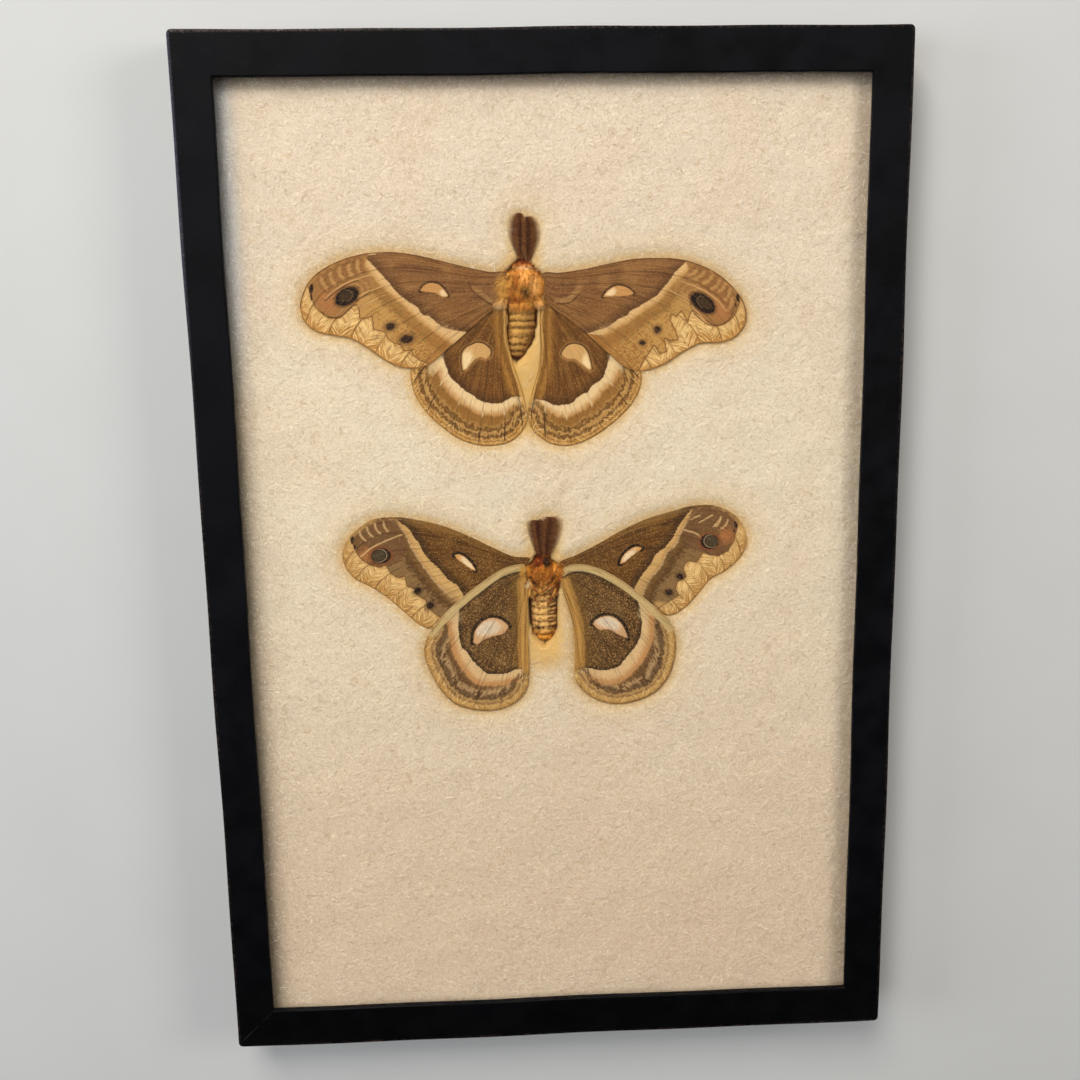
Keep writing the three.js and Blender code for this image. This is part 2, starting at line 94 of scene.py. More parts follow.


# %% [markdown]
# ## From a bmesh to a piece
# Every piece ends the same way: its mesh is scaled to metres, it gets a finish, it rides on the one body,
# and the plain solids it stands for are hidden. One function does that, so that no piece forgets a step.

# %% Make a piece of the object
def to_mesh(bm, name):
    mesh = bpy.data.meshes.new(name)
    bm.to_mesh(mesh)
    bm.free()
    return mesh


def make_piece(mesh, name, material, replaced=()):
    mesh.transform(Matrix.Scale(MM, 4))
    piece = bpy.data.objects.new(name, mesh)
    bpy.context.collection.objects.link(piece)
    mesh.materials.append(material)
    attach(piece, "root")
    if replaced:
        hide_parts(*replaced)
    print(name, "has", len(mesh.polygons), "faces")
    return piece


def places_of(mesh):
    flat = np.empty(len(mesh.vertices) * 3)
    mesh.vertices.foreach_get("co", flat)
    return flat.reshape(-1, 3)


def set_places(mesh, places):
    mesh.vertices.foreach_set("co", places.ravel())
    mesh.update()


def set_field(mesh, name, values):
    field = mesh.attributes.new(name, "FLOAT", "POINT")
    field.data.foreach_set("value", np.asarray(values, dtype=np.float32))


def set_colours(mesh, name, colours):
    opaque = np.ones((len(colours), 4), dtype=np.float32)
    opaque[:, :3] = colours
    field = mesh.attributes.new(name, "FLOAT_COLOR", "POINT")
    field.data.foreach_set("color", opaque.ravel())


# %% [markdown]
# ## Colours
# Colours were judged on a screen, so they are written as screen values from 0 to 255. Blender
# works with linear light, and this function turns one into the other.

# %% Screen colour to linear light
def tint(red, green, blue):
    screen = np.array([red, green, blue]) / 255
    return np.where(screen <= 0.04045, screen / 12.92, ((screen + 0.055) / 1.055) ** 2.4)


# %% [markdown]
# ## A small kit for finishes
# All finishes here are one Principled shader whose colour is painted in layers, like glazes: each layer
# has a colour and a mask. Masks come from noise, or from distances that are stored on the mesh, such as
# the distance to the wing's edge.

# %% The finish kit
class Finish:
    def __init__(self, name, roughness, specular=0.5, **sockets):
        self.material = bpy.data.materials.new(name)
        self.material.use_nodes = True
        self.tree = self.material.node_tree
        self.shader = self.tree.nodes["Principled BSDF"]
        self.shader.inputs["Roughness"].default_value = roughness
        self.shader.inputs["Specular IOR Level"].default_value = specular
        for socket, value in sockets.items():
            self.shader.inputs[socket.replace("_", " ")].default_value = value

    def node(self, kind, **settings):
        made = self.tree.nodes.new("ShaderNode" + kind)
        for key, value in settings.items():
            setattr(made, key, value)
        return made

    def feed(self, socket, value):
        if isinstance(value, bpy.types.NodeSocket):
            self.tree.links.new(value, socket)
        elif socket.type == "RGBA":
            socket.default_value = (*value, 1)
        else:
            socket.default_value = value

    def sum(self, operation, first, second=0.0, clamp=False):
        made = self.node("Math", operation=operation, use_clamp=clamp)
        self.feed(made.inputs[0], first)
        self.feed(made.inputs[1], second)
        return made.outputs[0]

    def field(self, name):
        return self.node("Attribute", attribute_name=name).outputs["Fac"]

    def place(self, source="Object"):
        return self.node("TexCoord").outputs[source]

    def stretched(self, vector, scale, turn=0.0):
        made = self.node("Mapping")
        self.feed(made.inputs["Vector"], vector)
        made.inputs["Scale"].default_value = scale
        made.inputs["Rotation"].default_value[2] = turn
        return made.outputs[0]

    def noise(self, scale, detail=2.0, vector=None, distortion=0.0):
        made = self.node("TexNoise")
        self.feed(made.inputs["Vector"], vector if vector is not None else self.place())
        made.inputs["Scale"].default_value = scale
        made.inputs["Detail"].default_value = detail
        made.inputs["Distortion"].default_value = distortion
        return made.outputs["Fac"]

    def fade(self, value, start, end, low=0.0, high=1.0):
        made = self.node("MapRange", interpolation_type="SMOOTHSTEP")
        for socket, number in zip(made.inputs, (value, start, end, low, high)):
            self.feed(socket, number)
        return made.outputs[0]

    def mix(self, under, over, amount):
        made = self.node("Mix", data_type="RGBA")
        self.feed(made.inputs[0], amount)
        self.feed(made.inputs[6], under)
        self.feed(made.inputs[7], over)
        return made.outputs[2]

    def bump(self, height, strength, distance):
        made = self.node("Bump")
        self.feed(made.inputs["Height"], height)
        made.inputs["Strength"].default_value = strength
        made.inputs["Distance"].default_value = distance * MM
        return made.outputs[0]

    def wear(self, colour=None, roughness=None, bump=None):
        for socket, value in (("Base Color", colour), ("Roughness", roughness), ("Normal", bump)):
            if value is not None:
                self.feed(self.shader.inputs[socket], value)
        return self.material


# %% [markdown]
# ## The camera
# The photograph was taken by hand from above the upper half of the case, so the case looks wider at its
# top. The four corners of the case's outline and of its window give the camera: where it stood, how it
# was turned and how long its lens is.

# %% Camera at the photograph's place
PICTURE = 1080
FOCAL_PIXELS = 1180.8
PICTURE_MIDDLE = (560.0, 460.0)
CAMERA_PLACE = Vector((-11.804, 95.262, 354.234)) * MM
CAMERA_RIGHT = (0.998905, -0.015086, 0.044284)
CAMERA_UP = (0.022899, 0.983103, -0.181615)
CAMERA_BACK = (-0.040796, 0.182430, 0.982372)
SENSOR = 36

lens = bpy.data.cameras.new("camera")
lens.sensor_width = SENSOR
lens.lens = FOCAL_PIXELS / PICTURE * SENSOR
lens.shift_x = (PICTURE / 2 - PICTURE_MIDDLE[0]) / PICTURE
lens.shift_y = (PICTURE_MIDDLE[1] - PICTURE / 2) / PICTURE
lens.clip_start = 0.01
camera = bpy.data.objects.new("camera", lens)
turn = Matrix((CAMERA_RIGHT, CAMERA_UP, CAMERA_BACK)).transposed()
camera.matrix_world = Matrix.Translation(CAMERA_PLACE) @ turn.to_4x4()
bpy.context.collection.objects.link(camera)
bpy.context.scene.camera = camera
print("lens", round(lens.lens, 2), "mm")


# %% [markdown]
# ## Light
# In the photograph a soft, slightly warm light comes from beyond the top of the case, and a fainter,
# bluer one from the left. The top of the cotton is bright and the lower part is tan. Area lights give
# that soft fall-off, and a dim sky fills the shadows.

# %% Lights and background
def area_light(name, place, aim, size, power, colour):
    lamp = bpy.data.lights.new(name, "AREA")
    lamp.shape = "RECTANGLE"
    lamp.size, lamp.size_y = size
    lamp.energy = power
    lamp.color = colour
    light = bpy.data.objects.new(name, lamp)
    light.location = place
    light.rotation_euler = (Vector(aim) - Vector(place)).to_track_quat("-Z", "Y").to_euler()
    bpy.context.collection.objects.link(light)
    return light


area_light("window light", (-0.25, 0.85, 0.8), (0, 0.02, 0), (0.5, 0.5), 7.2, (1.0, 0.96, 0.89))
left_light = area_light("left light", (-0.95, 0.15, 0.5), (0, 0, 0), (0.45, 0.45), 2.4, (0.84, 0.91, 1.0))
# The low lamp would stand as a hard white square in the glass when the case is seen from its right side.
left_light.visible_glossy = False
area_light("ceiling light", (-0.84, 0.2, 1.5), (-0.4, 0, 0), (0.8, 0.5), 4.4, (0.9, 0.95, 1.0))
area_light("right light", (1.0, 0.35, 0.8), (0, 0, 0), (0.5, 0.5), 3.8, (1.0, 0.96, 0.9))

sky = bpy.data.worlds.new("sky")
sky.use_nodes = True
sky.node_tree.nodes["Background"].inputs["Color"].default_value = (0.95, 0.97, 1.0, 1)
sky.node_tree.nodes["Background"].inputs["Strength"].default_value = 0.06
bpy.context.scene.world = sky
bpy.context.scene.view_settings.view_transform = "Standard"

# %% Pale floor
floor_finish = Finish("floor", 0.8, specular=0.2)
floor_grain = floor_finish.mix(tint(238, 238, 236), tint(244, 244, 243), floor_finish.noise(30))
floor_bm = bmesh.new()
bmesh.ops.create_grid(floor_bm, x_segments=1, y_segments=1, size=3)
floor_mesh = to_mesh(floor_bm, "floor")
floor_mesh.materials.append(floor_finish.wear(colour=floor_grain))
floor = bpy.data.objects.new("floor", floor_mesh)
bpy.context.collection.objects.link(floor)
floor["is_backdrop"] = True


# %% [markdown]
# ## Covering paper
# Board cases like this are covered in black paper with a fine leather grain. It is never quite black: it
# goes brown where hands rub the edges, and holds dust. At the lower left corner the paper is folded over
# itself along a slanting line, which shows as a thin lighter crease: partly worn paper, partly painted
# highlight. The lower end is painted darker as shade, and the top of the left edge has a painted cool
# highlight.

# %% The paper's finish
def paper_finish():
    paper = Finish("black covering paper", 0.5, specular=0.14)
    spot = paper.node("SeparateXYZ")
    paper.feed(spot.inputs[0], paper.place())
    across = paper.sum("ABSOLUTE", spot.outputs[0])
    along = paper.sum("ABSOLUTE", spot.outputs[1])
    blotches = paper.fade(paper.noise(60, 3), 0.35, 0.7)
    colour = paper.mix(tint(8, 8, 11), tint(15, 15, 21), blotches)
    # Painted shade: the paper is darker towards the lower end of the case.
    colour = paper.mix(colour, tint(2, 2, 3), paper.fade(spot.outputs[1], -0.06, -0.15, 0.0, 0.8))
    edge = paper.sum("MAXIMUM", paper.sum("SUBTRACT", across, lid_high[0] * MM),
                     paper.sum("SUBTRACT", along, lid_high[1] * MM))
    near_edge = paper.fade(edge, -0.0011, -0.0002)
    near_top = paper.fade(spot.outputs[2], (lid_high[2] - 1.3) * MM, (lid_high[2] - 0.3) * MM)
    scuffs = paper.fade(paper.noise(900, 4, distortion=0.6), 0.44, 0.66)
    worn = paper.sum("MULTIPLY", paper.sum("MULTIPLY", near_edge, near_top), scuffs)
    colour = paper.mix(colour, tint(92, 74, 64), paper.sum("MULTIPLY", worn, 0.55))
    upper_left = paper.sum("SUBTRACT", spot.outputs[1], spot.outputs[0])
    rubbed = paper.sum("MULTIPLY", paper.sum("MULTIPLY", near_edge, near_top),
                       paper.sum("MULTIPLY", paper.fade(upper_left, 0.12, 0.235),
                                 paper.fade(paper.noise(2200, 3), 0.36, 0.6)))
    colour = paper.mix(colour, tint(112, 98, 92), paper.sum("MULTIPLY", rubbed, 0.6))
    chalk = paper.sum("MULTIPLY", rubbed, paper.fade(paper.noise(1500, 2), 0.58, 0.68))
    colour = paper.mix(colour, tint(190, 184, 178), paper.sum("MULTIPLY", chalk, 0.5))
    # Painted highlight: a cool blue-grey sheen on the top of the lid's left edge, strongest towards the upper end.
    painted_cool_highlight = paper.sum("MULTIPLY", paper.fade(spot.outputs[0], -0.1004, -0.1018),
                     paper.fade(spot.outputs[2], 0.0165, 0.0186))
    colour = paper.mix(colour, tint(70, 78, 98), paper.sum("MULTIPLY", painted_cool_highlight, paper.fade(spot.outputs[1], 0.0, 0.14)))
    past_side = paper.sum("SUBTRACT", paper.sum("MULTIPLY", spot.outputs[0], -1.0), WINDOW[0] * MM)
    past_end = paper.sum("SUBTRACT", paper.sum("MULTIPLY", spot.outputs[1], -1.0), WINDOW[1] * MM)
    slant = paper.sum("ABSOLUTE", paper.sum("SUBTRACT", past_side, past_end))
    in_corner = paper.fade(paper.sum("MINIMUM", past_side, past_end), 0.0002, 0.0008)
    crease = paper.sum("MULTIPLY", paper.fade(slant, 0.0003, 0.0001), in_corner)
    # The crease line is lighter grey: partly worn paper, partly a painted highlight on the fold.
    crease_wear_and_highlight = paper.sum("MULTIPLY", crease, paper.fade(paper.noise(260), 0.35, 0.65))
    colour = paper.mix(colour, tint(52, 50, 52), paper.sum("MULTIPLY", crease_wear_and_highlight, 0.7))
    dust = paper.fade(paper.noise(2600, 1), 0.74, 0.8)
    colour = paper.mix(colour, tint(66, 66, 68), paper.sum("MULTIPLY", dust, 0.35))
    grain = paper.node("TexVoronoi", feature="SMOOTH_F1")
    paper.feed(grain.inputs["Vector"], paper.stretched(paper.place(), (1, 1.35, 1)))
    grain.inputs["Scale"].default_value = 1500
    height = paper.sum("ADD", grain.outputs["Distance"], paper.sum("MULTIPLY", crease, -0.8))
    rough = paper.fade(paper.noise(120, 3), 0.3, 0.7, 0.42, 0.62)
    return paper.wear(colour, rough, paper.bump(height, 0.35, 0.12))


paper_material = paper_finish()


# %% [markdown]
# ## Lid and tray
# Both are open boxes of board. A cube becomes one when the open side's face is inset by the thickness of
# the board and pushed in. The lid's window is a second inset on the face and on its underside, joined by
# a bridge. Then the edges are rounded, as paper over board always is.

# %% An open box of board
def select_face(bm, direction):
    return max(bm.faces, key=lambda face: face.normal.dot(direction) + 1e-3 * face.calc_area())


def board_box(low, high, opening_up, floor_level):
    bm = bmesh.new()
    bmesh.ops.create_cube(bm, size=1)
    bmesh.ops.scale(bm, vec=high - low, verts=bm.verts)
    bmesh.ops.translate(bm, vec=(low + high) / 2, verts=bm.verts)
    side = Vector((0, 0, 1 if opening_up else -1))
    open_face = select_face(bm, side)
    bmesh.ops.inset_region(bm, faces=[open_face], thickness=BOARD, use_even_offset=True)
    pushed = bmesh.ops.extrude_discrete_faces(bm, faces=[open_face])["faces"][0]
    for corner in pushed.verts:
        corner.co.z = floor_level
    return bm, pushed


def inset_to(bm, face, half_size):
    bmesh.ops.inset_region(bm, faces=[face], thickness=5, use_even_offset=True)
    for corner in face.verts:
        corner.co.x = math.copysign(half_size[0], corner.co.x)
        corner.co.y = math.copysign(half_size[1], corner.co.y)


def cut_window(bm, ceiling):
    top = max((face for face in bm.faces if face.normal.z > 0.9), key=lambda face: face.calc_area())
    edges = []
    for face in (top, ceiling):
        inset_to(bm, face, WINDOW)
        edges += list(face.edges)
    bmesh.ops.delete(bm, geom=[top, ceiling], context="FACES_ONLY")
    bmesh.ops.bridge_loops(bm, edges=edges)


# %% [markdown]
# The corners get a wider rounding than the edges, because the board itself is rounded there and the paper
# only bends. Cutting the finished box into strips lets the lid's edges wander a little, so that they are not
# as straight as a machined part.

# %% Round the edges and let them wander
def is_upright(edge):
    a, b = edge.verts
    return abs(a.co.z - b.co.z) > 5 and abs(abs(a.co.x) - abs(b.co.x)) < 0.01


def round_edges(bm, half_width, corner, edge_round):
    upright = [e for e in bm.edges if is_upright(e) and abs(e.verts[0].co.x) > half_width - 0.1]
    bmesh.ops.bevel(bm, geom=upright, offset=corner, segments=4, affect="EDGES", profile=0.5, material=-1)
    sharp = [e for e in bm.edges if len(e.link_faces) == 2 and e.calc_face_angle() > math.radians(60)]
    bmesh.ops.bevel(bm, geom=sharp, offset=edge_round, segments=3, affect="EDGES", profile=0.5, material=-1)


def cut_in_strips(bm, low, high, pitch):
    for axis in (0, 1):
        for level in np.arange(low[axis] + pitch, high[axis], pitch):
            normal = Vector((axis == 0, axis == 1, 0))
            everything = list(bm.verts) + list(bm.edges) + list(bm.faces)
            bmesh.ops.bisect_plane(bm, geom=everything, plane_co=normal * level, plane_no=normal)


def let_wander(bm, amount):
    for vert in bm.verts:
        x, y, z = vert.co
        vert.co.x += amount * math.sin(y * 0.071 + z * 0.05) * math.cos(y * 0.023 + 1.3) * abs(x) / 100
        vert.co.y += amount * math.sin(x * 0.083 + 0.7) * math.cos(x * 0.031) * abs(y) / 150


# %% The lid
lid_bm, lid_ceiling = board_box(lid_low, lid_high, False, lid_high[2] - FACE_BOARD)
cut_window(lid_bm, lid_ceiling)
round_edges(lid_bm, lid_high[0], 1.4, 0.45)
cut_in_strips(lid_bm, lid_low, lid_high, 9)
let_wander(lid_bm, 0.2)
bmesh.ops.recalc_face_normals(lid_bm, faces=lid_bm.faces)
lid = make_piece(to_mesh(lid_bm, "case lid"), "case_lid", paper_material, ["lid"])

# %% The tray
tray_bm, tray_floor = board_box(tray_low, tray_high, True, BOARD)
round_edges(tray_bm, tray_high[0], 1.2, 0.4)
cut_in_strips(tray_bm, tray_low, tray_high, 9)
bmesh.ops.recalc_face_normals(tray_bm, faces=tray_bm.faces)
tray = make_piece(to_mesh(tray_bm, "case tray"), "case_tray", paper_material, ["tray"])


# %% [markdown]
# ## The glass
# A flat pane of window glass. It needs nothing but plain values: it lets all light through, bends it a
# little and mirrors a little. It casts no shadow, or the cotton under it would turn dark and noisy.

# %% Glass finish on the pane
glass_finish = Finish("window glass", 0.0, specular=0.5, Transmission_Weight=1.0, IOR=1.5)
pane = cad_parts["glass_pane"]
pane.data.materials.clear()
pane.data.materials.append(glass_finish.material)
pane.visible_shadow = False

# %% Pins through the sides of the lid
PIN_HEAD = 1.1
PIN_SHAFT = 0.35


def steel_finish():
    steel = Finish("pin steel", 0.3, Metallic=1.0)
    colour = steel.mix(tint(196, 196, 198), tint(150, 146, 140), steel.fade(steel.noise(900, 3), 0.4, 0.7))
    return steel.wear(colour, steel.fade(steel.noise(1500), 0.3, 0.7, 0.22, 0.42))


steel_material = steel_finish()
for pin_name in [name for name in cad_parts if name.startswith("lid_pin")]:
    low, high = box_of(pin_name)
    side = math.copysign(1, low[0])
    head_top, point = (high[0], low[0]) if side > 0 else (-low[0], -high[0])
    profile = [(point, 0), (point + 0.8, PIN_SHAFT), (head_top - 0.5, PIN_SHAFT), (head_top - 0.5, PIN_HEAD),
               (head_top - 0.2, PIN_HEAD * 0.96), (head_top - 0.04, PIN_HEAD * 0.6), (head_top, 0)]
    pin_bm = bmesh.new()
    line = [pin_bm.verts.new((reach, 0, radius)) for reach, radius in profile]
    outline = [pin_bm.edges.new(pair) for pair in zip(line, line[1:])]
    bmesh.ops.spin(pin_bm, geom=line + outline, cent=(0, 0, 0), axis=(1, 0, 0), angle=2 * math.pi, steps=24,
                   use_merge=True)
    bmesh.ops.remove_doubles(pin_bm, verts=pin_bm.verts, dist=1e-4)
    middle = (low + high) / 2
    if side < 0:
        bmesh.ops.rotate(pin_bm, verts=pin_bm.verts, matrix=Matrix.Rotation(math.pi, 3, "Z"))
    bmesh.ops.translate(pin_bm, vec=(0, middle[1], middle[2]), verts=pin_bm.verts)
    bmesh.ops.recalc_face_normals(pin_bm, faces=pin_bm.faces)
    make_piece(to_mesh(pin_bm, pin_name), pin_name.replace("lid_pin", "steel_pin"),
               steel_material, [pin_name])


# %% [markdown]
# ## Lines, distances and smooth outlines
# The markings of the wings and the hollows in the cotton follow lines on the moths. Three helpers do the
# measuring: the distance of many points from a line, which points are inside an outline, and a smooth
# curve through a few points.

# %% Distances
def from_line(points, line):
    line = np.asarray(line, dtype=float)
    start, step = line[:-1], np.diff(line, axis=0)
    offset = points[:, None] - start
    share = np.clip((offset * step).sum(-1) / (step**2).sum(-1), 0, 1)
    gap = offset - share[..., None] * step
    return np.sqrt((gap**2).sum(-1).min(1))


def along_line(points, line):
    """How far along a line its nearest spot is, for each point."""
    line = np.asarray(line, dtype=float)
    start, step = line[:-1], np.diff(line, axis=0)
    length = np.linalg.norm(step, axis=1)
    offset = points[:, None] - start
    share = np.clip((offset * step).sum(-1) / length**2, 0, 1)
    gap = np.linalg.norm(offset - share[..., None] * step, axis=2)
    part = gap.argmin(1)
    return np.concatenate([[0], np.cumsum(length)])[part] + share[np.arange(len(points)), part] * length[part]


def is_inside(points, outline):
    outline = np.asarray(outline, dtype=float)
    ahead = np.roll(outline, -1, axis=0)
    x, y = points[:, :1], points[:, 1:2]
    crosses = (outline[:, 1] > y) != (ahead[:, 1] > y)
    rise = np.where(ahead[:, 1] == outline[:, 1], 1, ahead[:, 1] - outline[:, 1])
    reach = outline[:, 0] + (y - outline[:, 1]) * (ahead[:, 0] - outline[:, 0]) / rise
    return (crosses & (x < reach)).sum(1) % 2 == 1


def ramp(values, start, end):
    return np.clip((values - start) / (end - start), 0, 1)


def from_region(points, outline):
    closed = np.vstack([outline, outline[:1]])
    return from_line(points, closed) * np.where(is_inside(points, outline), -1, 1)


def from_oval(points, oval):
    x, y, half_long, half_short, degrees = oval
    turn = math.radians(degrees)
    dx, dy = points[:, 0] - x, points[:, 1] - y
    along = dx * math.cos(turn) + dy * math.sin(turn)
    across = dy * math.cos(turn) - dx * math.sin(turn)
    return np.hypot(along / half_long, across / half_short)


# %% Smooth curves
def smooth_line(points, parts=5):
    points = np.asarray(points, dtype=float)
    ends = [2 * points[0] - points[1], *points, 2 * points[-1] - points[-2]]
    curve = []
    for p0, p1, p2, p3 in zip(ends, ends[1:], ends[2:], ends[3:]):
        for t in np.arange(parts) / parts:
            curve.append(0.5 * (2 * p1 + (p2 - p0) * t + (2 * p0 - 5 * p1 + 4 * p2 - p3) * t**2
                                + (3 * p1 - p0 - 3 * p2 + p3) * t**3))
    return np.array([*curve, points[-1]])


def on_outline(outline, share):
    """Points of the closed, evenly paced curve through an outline, at shares from 0 to 1."""
    count = len(outline)
    at = np.asarray(share, dtype=float) * count
    base = np.floor(at).astype(int)
    t = (at - base)[:, None]
    p0, p1, p2, p3 = (outline[(base + k) % count] for k in (-1, 0, 1, 2))
    d0, d1, d2 = (np.sqrt(np.linalg.norm(b - a, axis=1))[:, None] for a, b in ((p0, p1), (p1, p2), (p2, p3)))
    slope1 = ((p1 - p0) / d0 - (p2 - p0) / (d0 + d1) + (p2 - p1) / d1) * d1
    slope2 = ((p2 - p1) / d1 - (p3 - p1) / (d1 + d2) + (p3 - p2) / d2) * d1
    bend2 = 3 * (p2 - p1) - 2 * slope1 - slope2
    bend3 = 2 * (p1 - p2) + slope1 + slope2
    return p1 + slope1 * t + bend2 * t**2 + bend3 * t**3


# %% [markdown]
# ## Where the wings are
# These outlines repeat the plain solids' ones. Each runs from the front of the wing's root along its
# front edge to the apex, down the outer margin to the rear corner, and back along the rear edge.

# %% Wing outlines
LOWER_LAYER = 13.98
UPPER_LAYER = 14.4
WING_SOLID = 0.22
WINGS = {
    "upper_moth_forewing_left": {
        "layer": UPPER_LAYER, "apex": 11, "corner": 20,
        "outline": [
            (-12, 86.6), (-16.5, 86.9), (-21, 87.8), (-27, 89.3), (-35, 91.4), (-43, 92.8), (-50, 92.8),
            (-56, 91.7), (-62, 89.4), (-66.5, 86.4), (-69.3, 82.6), (-70.6, 78), (-69.6, 73.9),
            (-66.5, 71.1), (-61.5, 69.8), (-57, 68.9), (-52, 66), (-47, 62.3), (-42.4, 60.3), (-38, 60.1),
            (-34.4, 61.3), (-31, 64), (-25, 69), (-18.5, 74.6), (-13.6, 78.4)],
    },
    "upper_moth_forewing_right": {
        "layer": UPPER_LAYER, "apex": 11, "corner": 20,
        "outline": [
            (-1.8, 86.2), (3, 86.4), (10, 87.3), (17, 88.7), (24, 89.9), (31, 90.1), (37, 89.7), (43, 88),
            (48.5, 85.1), (52.7, 81.4), (55.7, 77.3), (56.6, 72.6), (55.2, 69.1), (52.4, 66.7), (48.5, 65.7),
            (43.5, 65.6), (38.5, 63.4), (33, 59.9), (28.5, 58.3), (24.5, 58), (20.6, 59.8), (17, 63),
            (11.5, 68), (5, 73.5), (-0.9, 78.3)],
    },
    "upper_moth_hindwing_left": {
        "layer": LOWER_LAYER, "apex": 4, "corner": 14,
        "outline": [
            (-13, 80.5), (-20, 77), (-28, 72.5), (-35.5, 66.5), (-39.8, 61.3), (-40.2, 56.5), (-38.9, 51.5),
            (-36, 47), (-32, 43), (-27, 39.2), (-21.5, 37.2), (-16.5, 37), (-12.2, 38), (-8.8, 40.8),
            (-7.15, 43.8), (-7.4, 48.5), (-8.6, 54), (-10.6, 60.5), (-12.1, 66.5), (-12.5, 72),
            (-12.4, 76.5)],
    },
    "upper_moth_hindwing_right": {
        "layer": LOWER_LAYER, "apex": 4, "corner": 14,
        "outline": [
            (-1.2, 80.5), (5, 76.5), (12, 72), (19.5, 66.5), (24.6, 61.5), (26.3, 56.5), (25.4, 51.8),
            (22.6, 47.4), (18, 43), (12, 38.9), (6, 36.6), (0.8, 36.8), (-3.2, 39), (-5.8, 41.8),
            (-6.75, 44.8), (-6.65, 48), (-5.4, 53), (-3.6, 59), (-2.8, 65), (-2.9, 71), (-2.6, 76)],
    },
    "lower_moth_forewing_left": {
        "layer": LOWER_LAYER, "apex": 10, "corner": 17,
        "outline": [
            (-7, 2.6), (-12, 3.5), (-18, 6.3), (-25, 10), (-32, 13.1), (-39, 15.1), (-46, 16.3),
            (-52.5, 15.8), (-57, 13.4), (-60.3, 10.2), (-62.2, 6), (-61.6, 1.7), (-59, -2), (-54, -4.9),
            (-49.5, -8.2), (-44.5, -13), (-39.8, -17.2), (-35.4, -18.5), (-31.5, -16.6), (-25, -11.8),
            (-17, -6.3), (-9.5, -2)],
    },
    "lower_moth_forewing_right": {
        "layer": LOWER_LAYER, "apex": 11, "corner": 18,
        "outline": [
            (1.6, 1), (6.5, 3.3), (13, 6.5), (20, 10.4), (27.5, 13.8), (34.5, 15.9), (41, 17.5), (47, 17.6),
            (52, 15.8), (55.7, 12.6), (57.6, 8.6), (57.6, 5), (55.6, 1.2), (51.5, -2.6), (47, -5.1),
            (43, -9.8), (39, -14), (35, -16.1), (31.8, -15.4), (27, -12.2), (19, -7.5), (11, -4.2),
            (3.6, -2.6)],
    },
    "lower_moth_hindwing_left": {
        "layer": UPPER_LAYER, "apex": 6, "corner": 16,
        "outline": [
            (-8.6, 0.9), (-11.5, 1), (-16, -0.5), (-21, -3.7), (-27, -8.2), (-32.6, -13.2), (-36.8, -18.5),
            (-39.1, -23), (-39.1, -27.3), (-37.3, -32.3), (-34.3, -38), (-30.5, -42), (-25.5, -43.9),
            (-20.5, -44.5), (-15.5, -43.7), (-11, -41), (-8.7, -37.3), (-8.1, -32), (-8.15, -25),
            (-8.1, -17), (-7.9, -10), (-8.1, -5)],
    },
    "lower_moth_hindwing_right": {
        "layer": UPPER_LAYER, "apex": 7, "corner": 16,
        "outline": [
            (2.2, -0.8), (4.5, 0.4), (8.5, 0.6), (13.5, -0.8), (19.5, -4.2), (25.5, -8.9), (31, -14.2),
            (35, -18.9), (36.4, -24.5), (35.8, -30.5), (33.8, -36), (29.8, -40.4), (24.5, -42.8),
            (18.5, -43.6), (13, -42.3), (8.5, -39.2), (6, -35.5), (5.8, -30), (5.8, -23), (5.1, -16.5),
            (3.4, -10), (1.9, -5)],
    },
}

for wing in WINGS.values():
    wing["outline"] = np.array(wing["outline"], dtype=float)
    wing["edge"] = on_outline(wing["outline"], np.arange(120) / 120)


# %% [markdown]
# ## A wing's own coordinates
# A wing is a patch between four curves: root, front edge, outer margin and rear edge. Two shares say
# where a point is: how far out from the root, and how far across from the front edge. A flat grid can
# then be laid on the wing, and veins are lines with a fixed share across.

# %% Map a grid onto a wing
def lerp(start, end, share):
    return start + (end - start) * share


def on_wing(wing, out, across):
    outline, apex, corner = wing["outline"], wing["apex"], wing["corner"]
    count = len(outline)
    back = count - 1
    out2, across2 = out[:, None], across[:, None]

    def front(s):
        return on_outline(outline, s * apex / count)

    def rear(s):
        return on_outline(outline, (back + (corner - back) * s) / count)

    def margin(s):
        return on_outline(outline, (apex + (corner - apex) * s) / count)

    zero, one = np.zeros(1), np.ones(1)
    lengthwise = lerp(front(out), rear(out), across2)
    crosswise = lerp(lerp(front(zero), rear(zero), across2), margin(across), out2)
    corners = lerp(lerp(front(zero), rear(zero), across2), lerp(margin(zero), margin(one), across2), out2)
    return lengthwise + crosswise - corners


VEINS = [(0.13, 0.1), (0.3, 0.1), (0.45, 0.46), (0.6, 0.46), (0.76, 0.1), (0.91, 0.14)]
VEIN_END = 0.985
for wing in WINGS.values():
    wing["veins"] = []
    for share, start in VEINS:
        stops = np.linspace(start, VEIN_END, 14)
        wing["veins"].append(on_wing(wing, stops, np.full(14, share)))
print("longest wing:", max(np.ptp(wing["edge"][:, 0]) for wing in WINGS.values()).round(1), "mm")


# %% [markdown]
# ## Markings
# Each wing carries the pattern of its kind: a pale band across, an eyespot near the apex of a forewing, a
# moon-shaped spot on a hindwing, and golden margins. The lines below were read off the photograph at the
# moths' real size, because left and right are not alike: the specimens were pressed by hand.

